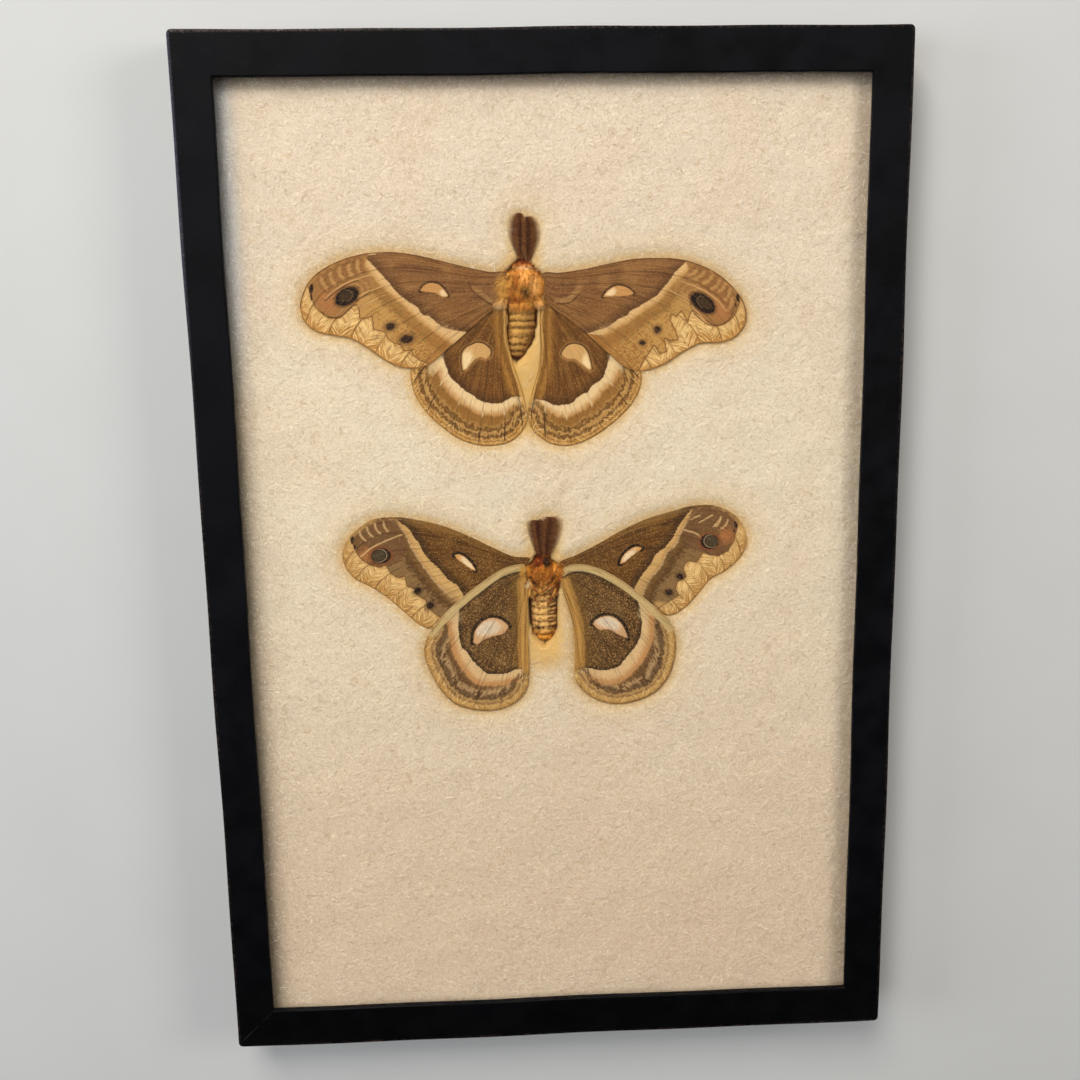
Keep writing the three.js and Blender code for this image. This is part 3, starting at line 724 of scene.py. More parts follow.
# %% Markings of the forewings
MARKS = {
    "upper_moth_forewing_left": {
        "band": [(-50.1, 89.9), (-47.9, 87.5), (-45.4, 84.5), (-42.8, 81.3), (-40, 79), (-37.6, 77.5),
                 (-36.1, 75.3), (-34.2, 74.7), (-32, 72.7), (-30, 71.4), (-27.8, 70.8), (-25.6, 70.4)],
        "band_end": [(-52.5, 91.2), (-51, 88), (-48.8, 85), (-46.2, 82.2), (-43.7, 80), (-41.1, 77.5),
                     (-38.9, 75.3), (-36.8, 73.4), (-34.2, 71.2), (-32, 69.5), (-29.5, 67.8)],
        "gold_line": [(-70.5, 88), (-68.3, 84.8), (-67.4, 81.6), (-66.4, 78), (-64.9, 76.5), (-62.4, 75),
                      (-60.3, 74.6), (-58.6, 75.6), (-56, 78), (-54.7, 78.4), (-54.1, 77.2), (-54, 74.6),
                      (-52.4, 74.4), (-50.4, 75.2), (-50.3, 71.4), (-48.8, 71), (-47.1, 70.6),
                      (-46.2, 68.6), (-44.5, 67.2), (-42.8, 66.9), (-41.9, 65), (-39.8, 65.2),
                      (-39.4, 63.9), (-37.6, 62.4), (-35.6, 61.6), (-33.4, 60.2)],
        "eye": (-57.3, 80.7, 3.5, 2.2, 30),
        "apex_field": [(-50.5, 93), (-52.2, 89), (-50.5, 84), (-54.5, 80), (-59.5, 75), (-61.5, 74.6),
                       (-64.6, 76.6), (-67.3, 80.6), (-68.6, 84.2), (-62, 89.9), (-56, 92.5)],
        "apex_marks": [(-67.2, 83, 0.6, 1.45, -12), (-67.3, 80.6, 0.3, 1.0, 5)],
        "smudges": [(-45.4, 72.1, 1.5, 1.0, 15), (-40.9, 68.4, 1.9, 1.2, 10)],
        "rim": 6,
        "moon": [(-36.6, 81.9), (-35.6, 83.3), (-33.6, 84.1), (-31.4, 83.6), (-29.9, 82.2), (-28.8, 80.4),
                 (-30.6, 80.2), (-32.3, 81.3), (-34.4, 81.7)],
        "moon_highlight": (-29.5, 80.8, 1.6, 1.2, -40),
        "pale_lines": [[(-48.6, 87), (-52.4, 86.2), (-57, 84.6), (-60.6, 82.6), (-63.4, 80.2)],
                       [(-46.9, 83.5), (-50.8, 82.1), (-54.8, 80.3), (-58, 77.8), (-60.4, 75.5)],
                       [(-21.5, 82.5), (-18.5, 80.2), (-14.9, 77.5)],
                       [(-48.6, 80), (-52, 78.6), (-54.5, 77.8)]],
        "dark_lines": [[(-64.9, 76.8), (-63.4, 75.1), (-60.8, 74.7), (-59.1, 75.1), (-56.6, 77.3),
                        (-54, 79.8), (-50.5, 82)],
                       [(-63.6, 79.6), (-60.5, 82), (-57.4, 83.9), (-54, 85.2)],
                       [(-16.2, 77.4), (-19, 79.3), (-21.8, 81.6), (-23, 84.2)]],
        "arcs": [(-63.8, 84.4, -66), (-61.5, 85.6, -70), (-58.9, 87, -76), (-56.4, 88.1, -80),
                 (-54, 89, -84)],
        "pale_patch": (-28.5, 69.3, 4.6, 1.9, -35),
        "glow": (-62.2, 79.6, 5.0, 3.4, 30),
    },
    "upper_moth_forewing_right": {
        "band": [(38.3, 88.2), (36, 86.15), (34.2, 83.6), (32.3, 81.5), (30.9, 79.7), (28.6, 78.3),
                 (25.8, 76.7), (23.1, 75.3), (22.15, 74.15), (19.8, 73.2), (18, 71.8), (15.7, 70.5),
                 (13.8, 70), (11.5, 69.3)],
        "band_end": [(41.1, 87.8), (39.2, 85.9), (36.9, 84.1), (34.6, 81.8), (32.8, 79.5), (30.9, 77.4),
                     (28.15, 76), (24.9, 73.7), (22.15, 71.85), (19.4, 70.5), (17.1, 69.3)],
        "gold_line": [(60, 84), (55.4, 79.2), (54.2, 76.2), (53.4, 74), (52.2, 72.4), (50, 71.1),
                      (47.6, 70.6), (45.4, 71.7), (43, 73.6), (41.2, 75.2), (40.3, 74.4), (39.6, 71.6),
                      (38.6, 73.8), (37.8, 75.2), (36.4, 73.4), (34.9, 74.3), (34.4, 72.6), (36, 69.6),
                      (36.9, 66.6), (34.6, 66.5), (32.8, 67.5), (33.5, 63.4), (31.6, 62.8), (30, 65.4),
                      (28.15, 62.8), (26.6, 60.6), (25, 57)],
        "eye": (44.0, 77.1, 3.9, 2.2, -36),
        "apex_field": [(38.5, 90), (40, 86), (37.5, 82), (41.2, 77), (43.6, 72.6), (46.5, 70.6), (50.6, 71),
                       (53.4, 74.6), (55.6, 78.4), (51, 83.4), (45, 87.5)],
        "apex_marks": [(54.05, 78.4, 0.5, 1.25, 10), (53.5, 76.4, 0.25, 1.0, 6)],
        "smudges": [(30.9, 69.8, 1.0, 1.0, 0), (26.5, 66.1, 0.9, 0.7, 0)],
        "rim": 5,
        "moon": [(15.3, 79.4), (16.8, 81.3), (19.2, 82.4), (21.8, 82), (24, 80.2), (21.6, 79.6),
                 (18.6, 79.5)],
        "moon_highlight": (17.2, 80.6, 1.8, 1.2, 20),
        "pale_lines": [[(36.6, 84), (40.5, 82.4), (44.5, 80.6), (48.4, 77.6), (50.8, 74.6)],
                       [(34.4, 80.9), (38, 78.8), (41.6, 75.6), (44.6, 72)],
                       [(1.85, 78.5), (5.5, 79), (7.8, 81.3), (8.3, 82.2)]],
        "dark_lines": [[(40.2, 77.6), (41.1, 74.8), (43.4, 72.5), (45.7, 70.9), (48.9, 70.6), (51.2, 71.8),
                        (53.1, 74.8)],
                       [(2, 77.6), (6, 78), (8.6, 80.4)]],
        "arcs": [(41.2, 85.6, 34), (43.2, 84.7, 36), (45.5, 83.4, 40), (47.9, 82, 46), (49.8, 81.2, 50),
                 (51.4, 79.2, 66), (52.3, 76.6, 76)],
        "pale_patch": (14.5, 68.4, 4.4, 1.8, 38),
        "glow": (49.2, 75.4, 4.4, 3.2, -35),
    },
    "lower_moth_forewing_left": {
        "band": [(-44.5, 14.4), (-42.2, 12.35), (-40.9, 9.9), (-39.5, 8.1), (-38.4, 5.4), (-36.4, 2.7),
                 (-33.7, 0), (-31.4, -3.1), (-28.8, -4.9), (-27.4, -7.4)],
        "band_end": [(-46.7, 14.6), (-44.9, 13), (-43.1, 9.9), (-41.8, 6.7), (-40, 3.2), (-37.7, -0.4),
                     (-35.5, -3.6), (-32.8, -6.7), (-30.1, -9)],
        "gold_line": [(-63, 14), (-60, 11.2), (-59, 8.4), (-58, 5.6), (-56.6, 3.6), (-54.4, 2),
                      (-51.5, 1.2), (-49.6, 1.8), (-48.3, -0.8), (-46, -2.2), (-44.3, -1.8),
                      (-43.6, -4.9), (-41.4, -5.6), (-40.4, -8), (-38.3, -9.2), (-37.4, -12),
                      (-35.6, -13.6), (-33.4, -15.4), (-31, -18)],
        "eye": (-51, 4.7, 2.6, 2.1, 10),
        "apex_field": [(-46, 15.6), (-45, 12), (-43.4, 7), (-45.5, 3), (-49.5, 1.4), (-54, 1.4),
                       (-57.6, 4.6), (-59.6, 8.6), (-56, 12.6), (-51, 15)],
        "apex_marks": [(-59.2, 9.7, 0.5, 1.2, -8), (-58.6, 7.6, 0.3, 0.8, 0)],
        "smudges": [(-40.6, -6.3, 1.3, 1.0, 30), (-37.1, -11, 1.3, 1.0, 30)],
        "rim": 5,
        "moon": [(-29.4, 4.3), (-27.8, 4.5), (-25.9, 3.3), (-24.3, 1.4), (-23.3, -0.5), (-25, 0.2),
                 (-27, 1.8), (-28.6, 3)],
        "moon_highlight": (-25.5, 1.8, 2.4, 1.2, -50),
        "pale_lines": [[(-44.6, 11), (-49, 9.4), (-53.6, 7.2), (-57, 4.6)]],
        "dark_lines": [[(-29.8, 4.6), (-27.9, 5), (-25.5, 3.7), (-23.8, 1.7), (-23.1, -0.4)]],
        "arcs": [(-56.4, 10.6, -58), (-54.3, 11.8, -60), (-52, 12.8, -64), (-49.6, 13.4, -68)],
        "pale_patch": (-31, -7.6, 3.0, 1.4, -45),
        "glow": (-55.4, 5, 3.0, 2.4, 20),
    },
    "lower_moth_forewing_right": {
        "band": [(40.6, 16), (39.1, 14.15), (37.3, 11.7), (36, 9), (34.4, 6.5), (32.4, 4.5), (30.1, 2.7),
                 (28.8, 0), (26.55, -2.7), (25.2, -4.9), (24.1, -7.2)],
        "band_end": [(43, 16), (41.8, 14.8), (39.6, 12.1), (37.8, 9), (36.4, 5.85), (33.7, 3.15), (32.4, 0),
                     (30.1, -3.1), (27.9, -5.8), (26.8, -9)],
        "gold_line": [(58, 15.6), (55.2, 12.8), (54.7, 10), (53.8, 6.4), (52, 3.4), (49.3, 2),
                      (46.5, 2.4), (44.6, 3.2), (42.7, 0.2), (40, 0.8), (38.6, -1.4), (39.6, -4.2),
                      (37, -5.6), (36.4, -7.8), (37.4, -10), (35, -11.4), (32.6, -12.8), (31, -14),
                      (29.6, -17)],
        "eye": (46.5, 6.5, 2.5, 2.1, -10),
        "apex_field": [(41.6, 16.6), (40, 12.4), (38.4, 8.4), (40.6, 4.4), (44.6, 3.4), (49.3, 1.4),
                       (52.6, 4), (54.8, 8), (54.6, 12.6), (51, 15.6), (46, 17)],
        "apex_marks": [(54.3, 11.5, 0.5, 1.15, 12), (53.9, 9.6, 0.25, 0.7, 0)],
        "smudges": [(37.6, -4, 1.2, 0.9, -35), (34.4, -8.9, 1.2, 0.9, -10)],
        "rim": 5,
        "moon": [(19.7, 0.3), (20.4, 2.4), (22.2, 4.4), (24.4, 5.5), (26.2, 4.9), (24.6, 3.6), (22.8, 2.2),
                 (21.2, 0.8)],
        "moon_highlight": (22.4, 2.8, 2.4, 1.1, 42),
        "pale_lines": [[(40.8, 13.4), (43.6, 14.6)], [(43.4, 12.4), (47.4, 14.6)], [(47.6, 11), (50, 13.6)],
                       [(38.6, 10.4), (42.6, 9), (44, 7.4)]],
        "dark_lines": [[(19.9, 1.8), (21.5, 4.2), (23.4, 5.7), (26.2, 5.5)]],
        "arcs": [(49.4, 12.4, 62), (51.3, 11.4, 54)],
        "pale_patch": (26.4, -6.4, 3.0, 1.4, 50),
        "glow": (51.6, 8.2, 2.8, 2.8, 0),
    },
}

# %% Markings of the hindwings
MARKS.update({
    "upper_moth_hindwing_left": {
        "band": [(-31, 63.1), (-29.7, 59.6), (-29, 57.5), (-26.9, 55.3), (-24.75, 53.2), (-22.6, 51.9),
                 (-20.5, 50.2), (-17.9, 49.5), (-14.9, 49.3), (-12.7, 50.4), (-10.6, 51.25), (-7.6, 51)],
        "band_end": [(-32.9, 61.3), (-32, 57), (-30.3, 53.6), (-27.8, 51), (-24.75, 48.5), (-21.7, 46.7),
                     (-18.3, 45.9), (-14.9, 45.9), (-11.9, 47.2), (-8.4, 48.5)],
        "rim": 8,
        "moon": [(-25.3, 58.9), (-25.5, 62.6), (-24.6, 65.2), (-22.4, 66.4), (-20.5, 66.9), (-18.7, 66.3),
                 (-17.2, 64.8), (-17.4, 63.2), (-18.6, 62.4), (-20.4, 62.9), (-22.6, 61.3), (-24.2, 59.4)],
        "moon_highlight": (-24.6, 61.2, 1.6, 3.0, -20),
        "pale_patch": (-33, 61.4, 2.2, 3.4, -30),
        "rear_strip": 2.4,
    },
    "upper_moth_hindwing_right": {
        "band": [(17.6, 64), (16.85, 61.5), (15.9, 58.7), (14.8, 55.9), (12, 54.1), (10.6, 52.2),
                 (7.85, 50.85), (6, 49), (3.2, 48.5), (0.9, 48.5), (-0.9, 49.5), (-3.2, 50.15), (-6, 50.15)],
        "band_end": [(20.4, 61), (19.85, 58.7), (18.9, 55.5), (15.7, 52.7), (13.85, 50.4), (11.1, 48.1),
                     (7.4, 45.8), (4.15, 44.85), (1.4, 45.3), (-1.85, 47.15), (-5.1, 47.6)],
        "rim": 7,
        "moon": [(3.2, 63.4), (4.6, 65.3), (6.5, 66.1), (8.6, 65.7), (10.15, 64.5), (11.2, 62),
                 (11.8, 58.7), (10.6, 58.9), (8.8, 60.4), (7.2, 61.7), (5.1, 61.9), (3.7, 62.6)],
        "moon_highlight": (10.8, 60.4, 1.3, 2.4, 10),
        "pale_patch": (19.2, 60.6, 2.0, 3.0, 30),
        "rear_strip": 2.4,
    },
    "lower_moth_hindwing_left": {
        "band": [(-27.6, -8.6), (-28.3, -10.3), (-28.75, -15.2), (-28.75, -20.6), (-27.9, -24.2),
                 (-26.5, -25.6), (-24.9, -28.3), (-23.4, -30), (-21.1, -32.3), (-18.4, -32.8),
                 (-14.85, -32.7), (-12.15, -31.6), (-9.5, -31.6), (-8.2, -33.4)],
        "band_end": [(-32.4, -12.6), (-32.8, -16.1), (-31.9, -21.1), (-30.55, -26.9), (-27.9, -31.8),
                     (-24.3, -35.9), (-20.2, -36.8), (-15.7, -36.6), (-12.2, -35.9), (-8.6, -36.6)],
        "rim": 7,
        "moon": [(-24.7, -22.9), (-24.5, -20.2), (-23.3, -17.6), (-21.1, -15.7), (-18.4, -15),
                 (-15.7, -15.9), (-13.7, -17.9), (-14.4, -19.3), (-15.7, -20.5), (-18.4, -21.1),
                 (-21.1, -22), (-23.4, -23.6)],
        "moon_highlight": (-20.4, -18.4, 3.6, 2.0, 10),
        "pale_patch": (-30.6, -13.4, 2.2, 3.4, 40),
        "rear_strip": 1.7,
    },
    "lower_moth_hindwing_right": {
        "band": [(24.2, -9.6), (25.2, -12.1), (25.9, -16.1), (26.1, -18.4), (25.65, -22), (24.3, -25.1),
                 (22.5, -27.4), (20.7, -29.6), (18.9, -31.6), (16.2, -32.5), (13.1, -32.5), (9.95, -31.8),
                 (7.7, -31.8), (6.1, -33)],
        "band_end": [(28.6, -12), (29.7, -15.2), (30.1, -19.3), (29.7, -23.3), (28.3, -26.9),
                     (26.55, -30.5), (23.4, -34.1), (19.8, -36.8), (16.2, -37.5), (12.2, -36.8),
                     (9.05, -35.4), (6.2, -36.6)],
        "rim": 7,
        "moon": [(11.1, -17.9), (12.6, -16.2), (14.9, -15.4), (17.6, -15.7), (19.8, -17.5), (21.3, -20.2),
                 (21.9, -22.9), (20.5, -22.5), (18, -21.1), (15.8, -20), (13.5, -20.1), (12, -19)],
        "moon_highlight": (16.2, -17.6, 3.6, 1.8, -20),
        "pale_patch": (27.4, -14, 2.0, 3.2, -30),
        "rear_strip": 1.7,
    },
})


# %% [markdown]
# ## Storing the markings on the mesh
# The mesh carries distances, not colours: from the band, from the margin, from the nearest vein. The
# finish turns a distance into an edge that is as crisp or as ragged as the scales make it, and that edge
# is finer than the mesh. Lines that cross a wing are extended past it, so that they part it cleanly.

# %% Fields of a wing
FAR = 60.0
BARB_LEAN = 0.9


def past_line(points, line, root):
    """Distance from a line that crosses a wing: negative on the root's side, positive beyond it."""
    line = np.asarray(line, dtype=float)
    first = line[0] + (line[0] - line[1]) * 4
    last = line[-1] + (line[-1] - line[-2]) * 4
    whole = np.vstack([first, line, last])
    inwards = root - line.mean(axis=0)
    inwards *= FAR / np.linalg.norm(inwards)
    root_side = is_inside(points, np.vstack([whole, last + inwards, first + inwards]))
    return from_line(points, whole) * np.where(root_side, -1, 1)


def nearest(points, lines):
    return np.min([from_line(points, smooth_line(line)) for line in lines], axis=0)


def barb_field(wing, points, across, from_margin):
    """Runs along the margin and leans inwards to both sides of each vein, like the barbs of a feather."""
    margin = on_outline(wing["outline"], np.linspace(wing["apex"] - 2, wing["corner"] + 1, 80) / len(wing["outline"]))
    cell = np.interp(across, [0] + [share for share, _ in VEINS] + [1], range(len(VEINS) + 2)) % 1
    lean = np.where(cell < 0.5, 1, -1)
    return along_line(points, margin) + lean * BARB_LEAN * from_margin


def arcs_field(points, arcs):
    """Pale scallops near the apex: short bent strokes, each with a place and a direction."""
    distance = np.full(len(points), 9.0)
    for x, y, degrees in arcs:
        turn = math.radians(degrees)
        along = np.array([math.cos(turn), math.sin(turn)])
        aside = np.array([-along[1], along[0]])
        stroke = [(x, y) + along * reach + aside * 0.35 * (reach / 1.5) ** 2 for reach in (-1.6, -0.8, 0, 0.8, 1.6)]
        distance = np.minimum(distance, from_line(points, stroke))
    return distance


def wing_fields(name, wing, points, out, across):
    marks = MARKS[name]
    edge, count = wing["outline"], len(wing["outline"])
    root = (edge[0] + edge[-1]) / 2

    def stretch(first, last):
        return on_outline(edge, np.linspace(first, last, 60) / count)

    from_margin = from_line(points, stretch(wing["apex"], wing["corner"]))
    fields = {
        "out": out,
        "across": across,
        "from_front": from_line(points, stretch(0, wing["apex"])),
        "from_margin": from_margin,
        "barb": barb_field(wing, points, across, from_margin),
        "from_rear": from_line(points, stretch(wing["corner"], count - 1)),
        "from_vein": np.min([from_line(points, vein) for vein in wing["veins"]], axis=0),
        "past_band": past_line(points, smooth_line(marks["band"]), root),
        "past_band_end": past_line(points, smooth_line(marks["band_end"]), root),
        "moon": from_region(points, smooth_line(marks["moon"], 3)),
        "moon_rim": from_line(points, smooth_line(marks["moon"][:marks["rim"]], 3)),
        "cell": 1 - np.abs(np.interp(across, [0] + [share for share, _ in VEINS] + [1], range(len(VEINS) + 2))
                           % 1 - 0.5) * 2,
        # The pale side of each moon spot: cream scales, with a painted highlight that makes the spot look raised.
        "moon_highlight": from_oval(points, marks["moon_highlight"]),
        "pale_patch": from_oval(points, marks["pale_patch"]),
    }
    if "eye" in marks:
        fields["past_gold"] = past_line(points, marks["gold_line"], root)
        fields["eye"] = from_oval(points, marks["eye"])
        x, y, *size = marks["eye"]
        to_root = (root - (x, y)) / np.linalg.norm(root - (x, y))
        fields["eye_light"] = from_oval(points, (x - to_root[0] * 0.7, y - to_root[1] * 0.7, *size))
        fields["eye_side"] = (points - (x, y)) @ to_root
        fields["apex_field"] = from_region(points, smooth_line(marks["apex_field"], 3))
        fields["apex_mark"] = np.min([from_oval(points, oval) for oval in marks["apex_marks"]], axis=0)
        fields["smudge"] = np.min([from_oval(points, oval) for oval in marks["smudges"]], axis=0)
        fields["pale_line"] = nearest(points, marks["pale_lines"])
        fields["dark_line"] = nearest(points, marks["dark_lines"])
        fields["arc"] = arcs_field(points, marks["arcs"])
        fields["glow"] = from_oval(points, marks["glow"])
    return fields


# %% [markdown]
# ## Wing finishes
# Scales make a wing matt, a little silky, and streaked from the root outwards. Each finish starts from the
# ground colour and lays the markings over it, from the widest to the smallest. A layer is a colour, how
# strongly it covers, and the conditions under which it shows: a field, and the two values between which
# it fades in. Noise roughens every edge.

# %% Paint a wing in layers
def wing_finish(name, ground, layers, speckle, grain, light_streak, dark_streak):
    wing = Finish(name, 0.6, specular=0.14)
    grid = wing.place("UV")
    streaks = wing.noise(1.0, 3, wing.stretched(grid, (20, 210, 1)))
    wide_streaks = wing.noise(1.0, 2, wing.stretched(grid, (8, 60, 1)))
    fine = wing.noise(1.0, 3, wing.stretched(grid, (90, 130, 1)))
    ragged = wing.sum("MULTIPLY", wing.sum("SUBTRACT", fine, 0.5), 3.0)
    colour = wing.mix(ground[0], ground[1], wing.fade(wide_streaks, 0.35, 0.65))
    colour = wing.mix(colour, ground[2], wing.fade(wing.noise(190, 3), 0.45, 0.72))
    colour = wing.mix(colour, light_streak, wing.sum("MULTIPLY", wing.fade(wing.field("cell"), 0.35, 1.0, 0.0, 0.35),
                                                     wing.fade(wide_streaks, 0.4, 0.6)))
    light = wing.fade(streaks, 0.5, 0.7, 0.0, 0.5)
    colour = wing.mix(colour, light_streak, light)
    pepper, salt = wing.noise(grain, 2), wing.noise(grain * 1.15, 2)
    colour = wing.mix(colour, tint(176, 130, 72), wing.fade(pepper, 0.5, 0.66, 0.0, speckle))
    colour = wing.mix(colour, tint(40, 22, 8), wing.fade(salt, 0.49, 0.37, 0.0, speckle))
    barbs = wing.node("CombineXYZ")
    wing.feed(barbs.inputs[0], wing.sum("MULTIPLY", wing.field("barb"), 1.9))
    wing.feed(barbs.inputs[1], wing.sum("MULTIPLY", wing.field("from_margin"), 0.33))
    barbs = wing.noise(1.0, 2, barbs.outputs[0])
    for paint, cover, roughness, conditions in layers:
        amount = cover
        for field, start, end in conditions:
            value = barbs if field == "barbs" else wing.field(field)
            if roughness and field != "barbs":
                value = wing.sum("ADD", value, wing.sum("MULTIPLY", ragged, roughness))
            amount = wing.sum("MULTIPLY", wing.fade(value, start, end), amount)
        colour = wing.mix(colour, paint, amount)
    colour = wing.mix(colour, tint(214, 170, 106), wing.fade(pepper, 0.54, 0.68, 0.0, 0.1 + speckle * 0.2))
    colour = wing.mix(colour, tint(46, 26, 10), wing.fade(salt, 0.47, 0.34, 0.0, 0.1 + speckle * 0.2))
    dark = wing.fade(streaks, 0.47, 0.26, 0.0, 0.5)
    colour = wing.mix(colour, dark_streak, dark)
    vein_shade = wing.fade(wing.field("from_vein"), 0.3, 0.05, 0.0, 0.35)
    colour = wing.mix(colour, dark_streak, vein_shade)
    relief = wing.sum("ADD", streaks, wing.sum("MULTIPLY", wing.noise(1900, 2), 0.4))
    inside = wing.fade(wing.field("from_margin"), 7.0, 4.0, 0.0, 1.4)
    relief = wing.sum("ADD", relief, wing.sum("MULTIPLY", barbs, inside))
    return wing.wear(colour, bump=wing.bump(relief, 0.8, 0.18))


# %% Upper side of the forewings
CREAM = tint(226, 184, 124)
SHADOW_LINE = tint(112, 72, 36)
# The two fold colours are a painted highlight and a painted shade along the crinkles of the gold margins, over the
# mesh's real creases; the darker one also browns the veins there.
FOLD_HIGHLIGHT = tint(250, 210, 142)
FOLD_SHADE_AND_VEIN_BROWN = tint(170, 116, 54)

forewing_top = wing_finish(
    "forewing scales, upper side",
    (tint(137, 91, 47), tint(109, 68, 35), tint(154, 107, 58)),
    [
        (tint(150, 104, 60), 0.5, 0.5, [("across", 0.25, 0.02), ("out", 0.1, 0.6)]),
        (tint(140, 94, 44), 0.5, 0.5, [("across", 0.55, 0.95), ("past_band", 0.5, -3)]),
        (tint(84, 52, 26), 0.7, 0.5, [("past_band", -3.2, -0.2), ("past_band", 0.3, 0.0)]),
        (tint(190, 148, 92), 0.5, 0.6, [("pale_line", 1.0, 0.2), ("out", 0.34, 0.2)]),
        (tint(196, 152, 102), 0.55, 0.8, [("pale_patch", 1.5, 0.4)]),
        (CREAM, 1.0, 0.25, [("past_band", -0.1, 0.25)]),
        (tint(204, 150, 84), 0.8, 0.4, [("past_band_end", -1.5, 0.0)]),
        (tint(166, 120, 60), 1.0, 0.5, [("past_band_end", -0.4, 0.6)]),
        (tint(148, 106, 50), 0.8, 1.8, [("past_band_end", 1.2, 2.6)]),
        (tint(204, 156, 86), 0.8, 2.4, [("past_band_end", 2.4, 4.4)]),
        (tint(166, 108, 48), 0.8, 1.0, [("past_band_end", 0.2, 1.2), ("across", 0.7, 0.9)]),
        (tint(160, 112, 60), 0.95, 0.4, [("apex_field", 0.6, -0.4)]),
        (tint(176, 116, 66), 0.8, 0.5, [("glow", 1.25, 0.4), ("apex_field", 0.3, -0.3)]),
        (tint(124, 80, 40), 0.5, 0.6, [("arc", 0.55, 0.9), ("arc", 1.6, 1.1), ("apex_field", 0.6, 0.1)]),
        (tint(202, 154, 94), 0.6, 0.5, [("arc", 0.6, 0.15), ("apex_field", 0.6, 0.1)]),
        (tint(190, 140, 84), 0.7, 0.15, [("eye", 1.24, 1.36), ("eye", 1.52, 1.4), ("eye_side", 0.4, 1.4)]),
        (tint(186, 138, 84), 0.6, 0.15, [("eye", 1.72, 1.82), ("eye", 2.0, 1.88), ("eye_side", 0.8, 1.8)]),
        (tint(180, 134, 80), 0.5, 0.2, [("eye", 2.2, 2.3), ("eye", 2.5, 2.38), ("eye_side", 1.2, 2.4)]),
        (tint(206, 156, 88), 1.0, 0.15, [("past_gold", -0.1, 0.1)]),
        (tint(232, 192, 124), 0.8, 0.8, [("past_gold", 0.2, 0.9), ("past_gold", 4.0, 2.2)]),
        (tint(196, 138, 66), 0.7, 0.6, [("from_margin", 3.0, 0.4), ("past_gold", 0.0, 0.6)]),
        (SHADOW_LINE, 0.75, 0.1, [("past_gold", -0.3, -0.1), ("past_gold", 0.28, 0.08)]),
        (FOLD_SHADE_AND_VEIN_BROWN, 0.75, 0.2, [("barbs", 0.47, 0.37), ("past_gold", 0.1, 0.5)]),
        (FOLD_HIGHLIGHT, 0.85, 0.2, [("barbs", 0.52, 0.62), ("past_gold", 0.1, 0.4)]),
        (FOLD_SHADE_AND_VEIN_BROWN, 0.7, 0.1, [("from_vein", 0.32, 0.12), ("past_gold", 0.2, 0.6)]),
        (tint(168, 112, 50), 0.8, 0.15, [("from_margin", 0.55, 0.15)]),
        (tint(196, 146, 82), 0.6, 0.3, [("from_front", 1.1, 0.5), ("out", 0.7, 0.8)]),
        (tint(104, 66, 34), 0.8, 0.15, [("from_front", 0.5, 0.2)]),
        (tint(104, 68, 34), 0.55, 0.8, [("smudge", 2.0, 1.2)]),
        (tint(44, 24, 12), 1.0, 0.4, [("smudge", 1.25, 0.7)]),
        (tint(60, 34, 16), 0.9, 0.15, [("moon_rim", 0.85, 0.35)]),
        (tint(206, 150, 86), 1.0, 0.1, [("moon", 0.15, -0.1)]),
        # painted highlight on the pale side of the moon spot
        (tint(246, 214, 164), 0.95, 0.25, [("moon", 0.0, -0.5), ("moon_highlight", 1.4, 0.6)]),
        (tint(206, 158, 100), 0.8, 0.1, [("pale_line", 0.32, 0.12), ("out", 0.5, 0.6)]),
        (tint(92, 56, 28), 0.85, 0.1, [("dark_line", 0.28, 0.1)]),
        (tint(98, 62, 34), 0.7, 0.1, [("eye", 1.34, 1.1)]),
        (tint(28, 15, 8), 1.0, 0.06, [("eye", 1.1, 0.96)]),
        (tint(70, 50, 26), 0.8, 0.06, [("eye_light", 0.6, 0.5), ("eye", 1.0, 0.9)]),
        (tint(108, 84, 52), 0.7, 0.03, [("eye_light", 0.6, 0.66), ("eye_light", 0.78, 0.72), ("eye_side", -0.6, 0.2),
                                        ("eye", 1.0, 0.9)]),
        (tint(48, 24, 14), 1.0, 0.15, [("apex_mark", 1.15, 0.8)]),
    ],
    speckle=0.2, grain=2500, light_streak=tint(172, 126, 76), dark_streak=tint(74, 44, 20),
)

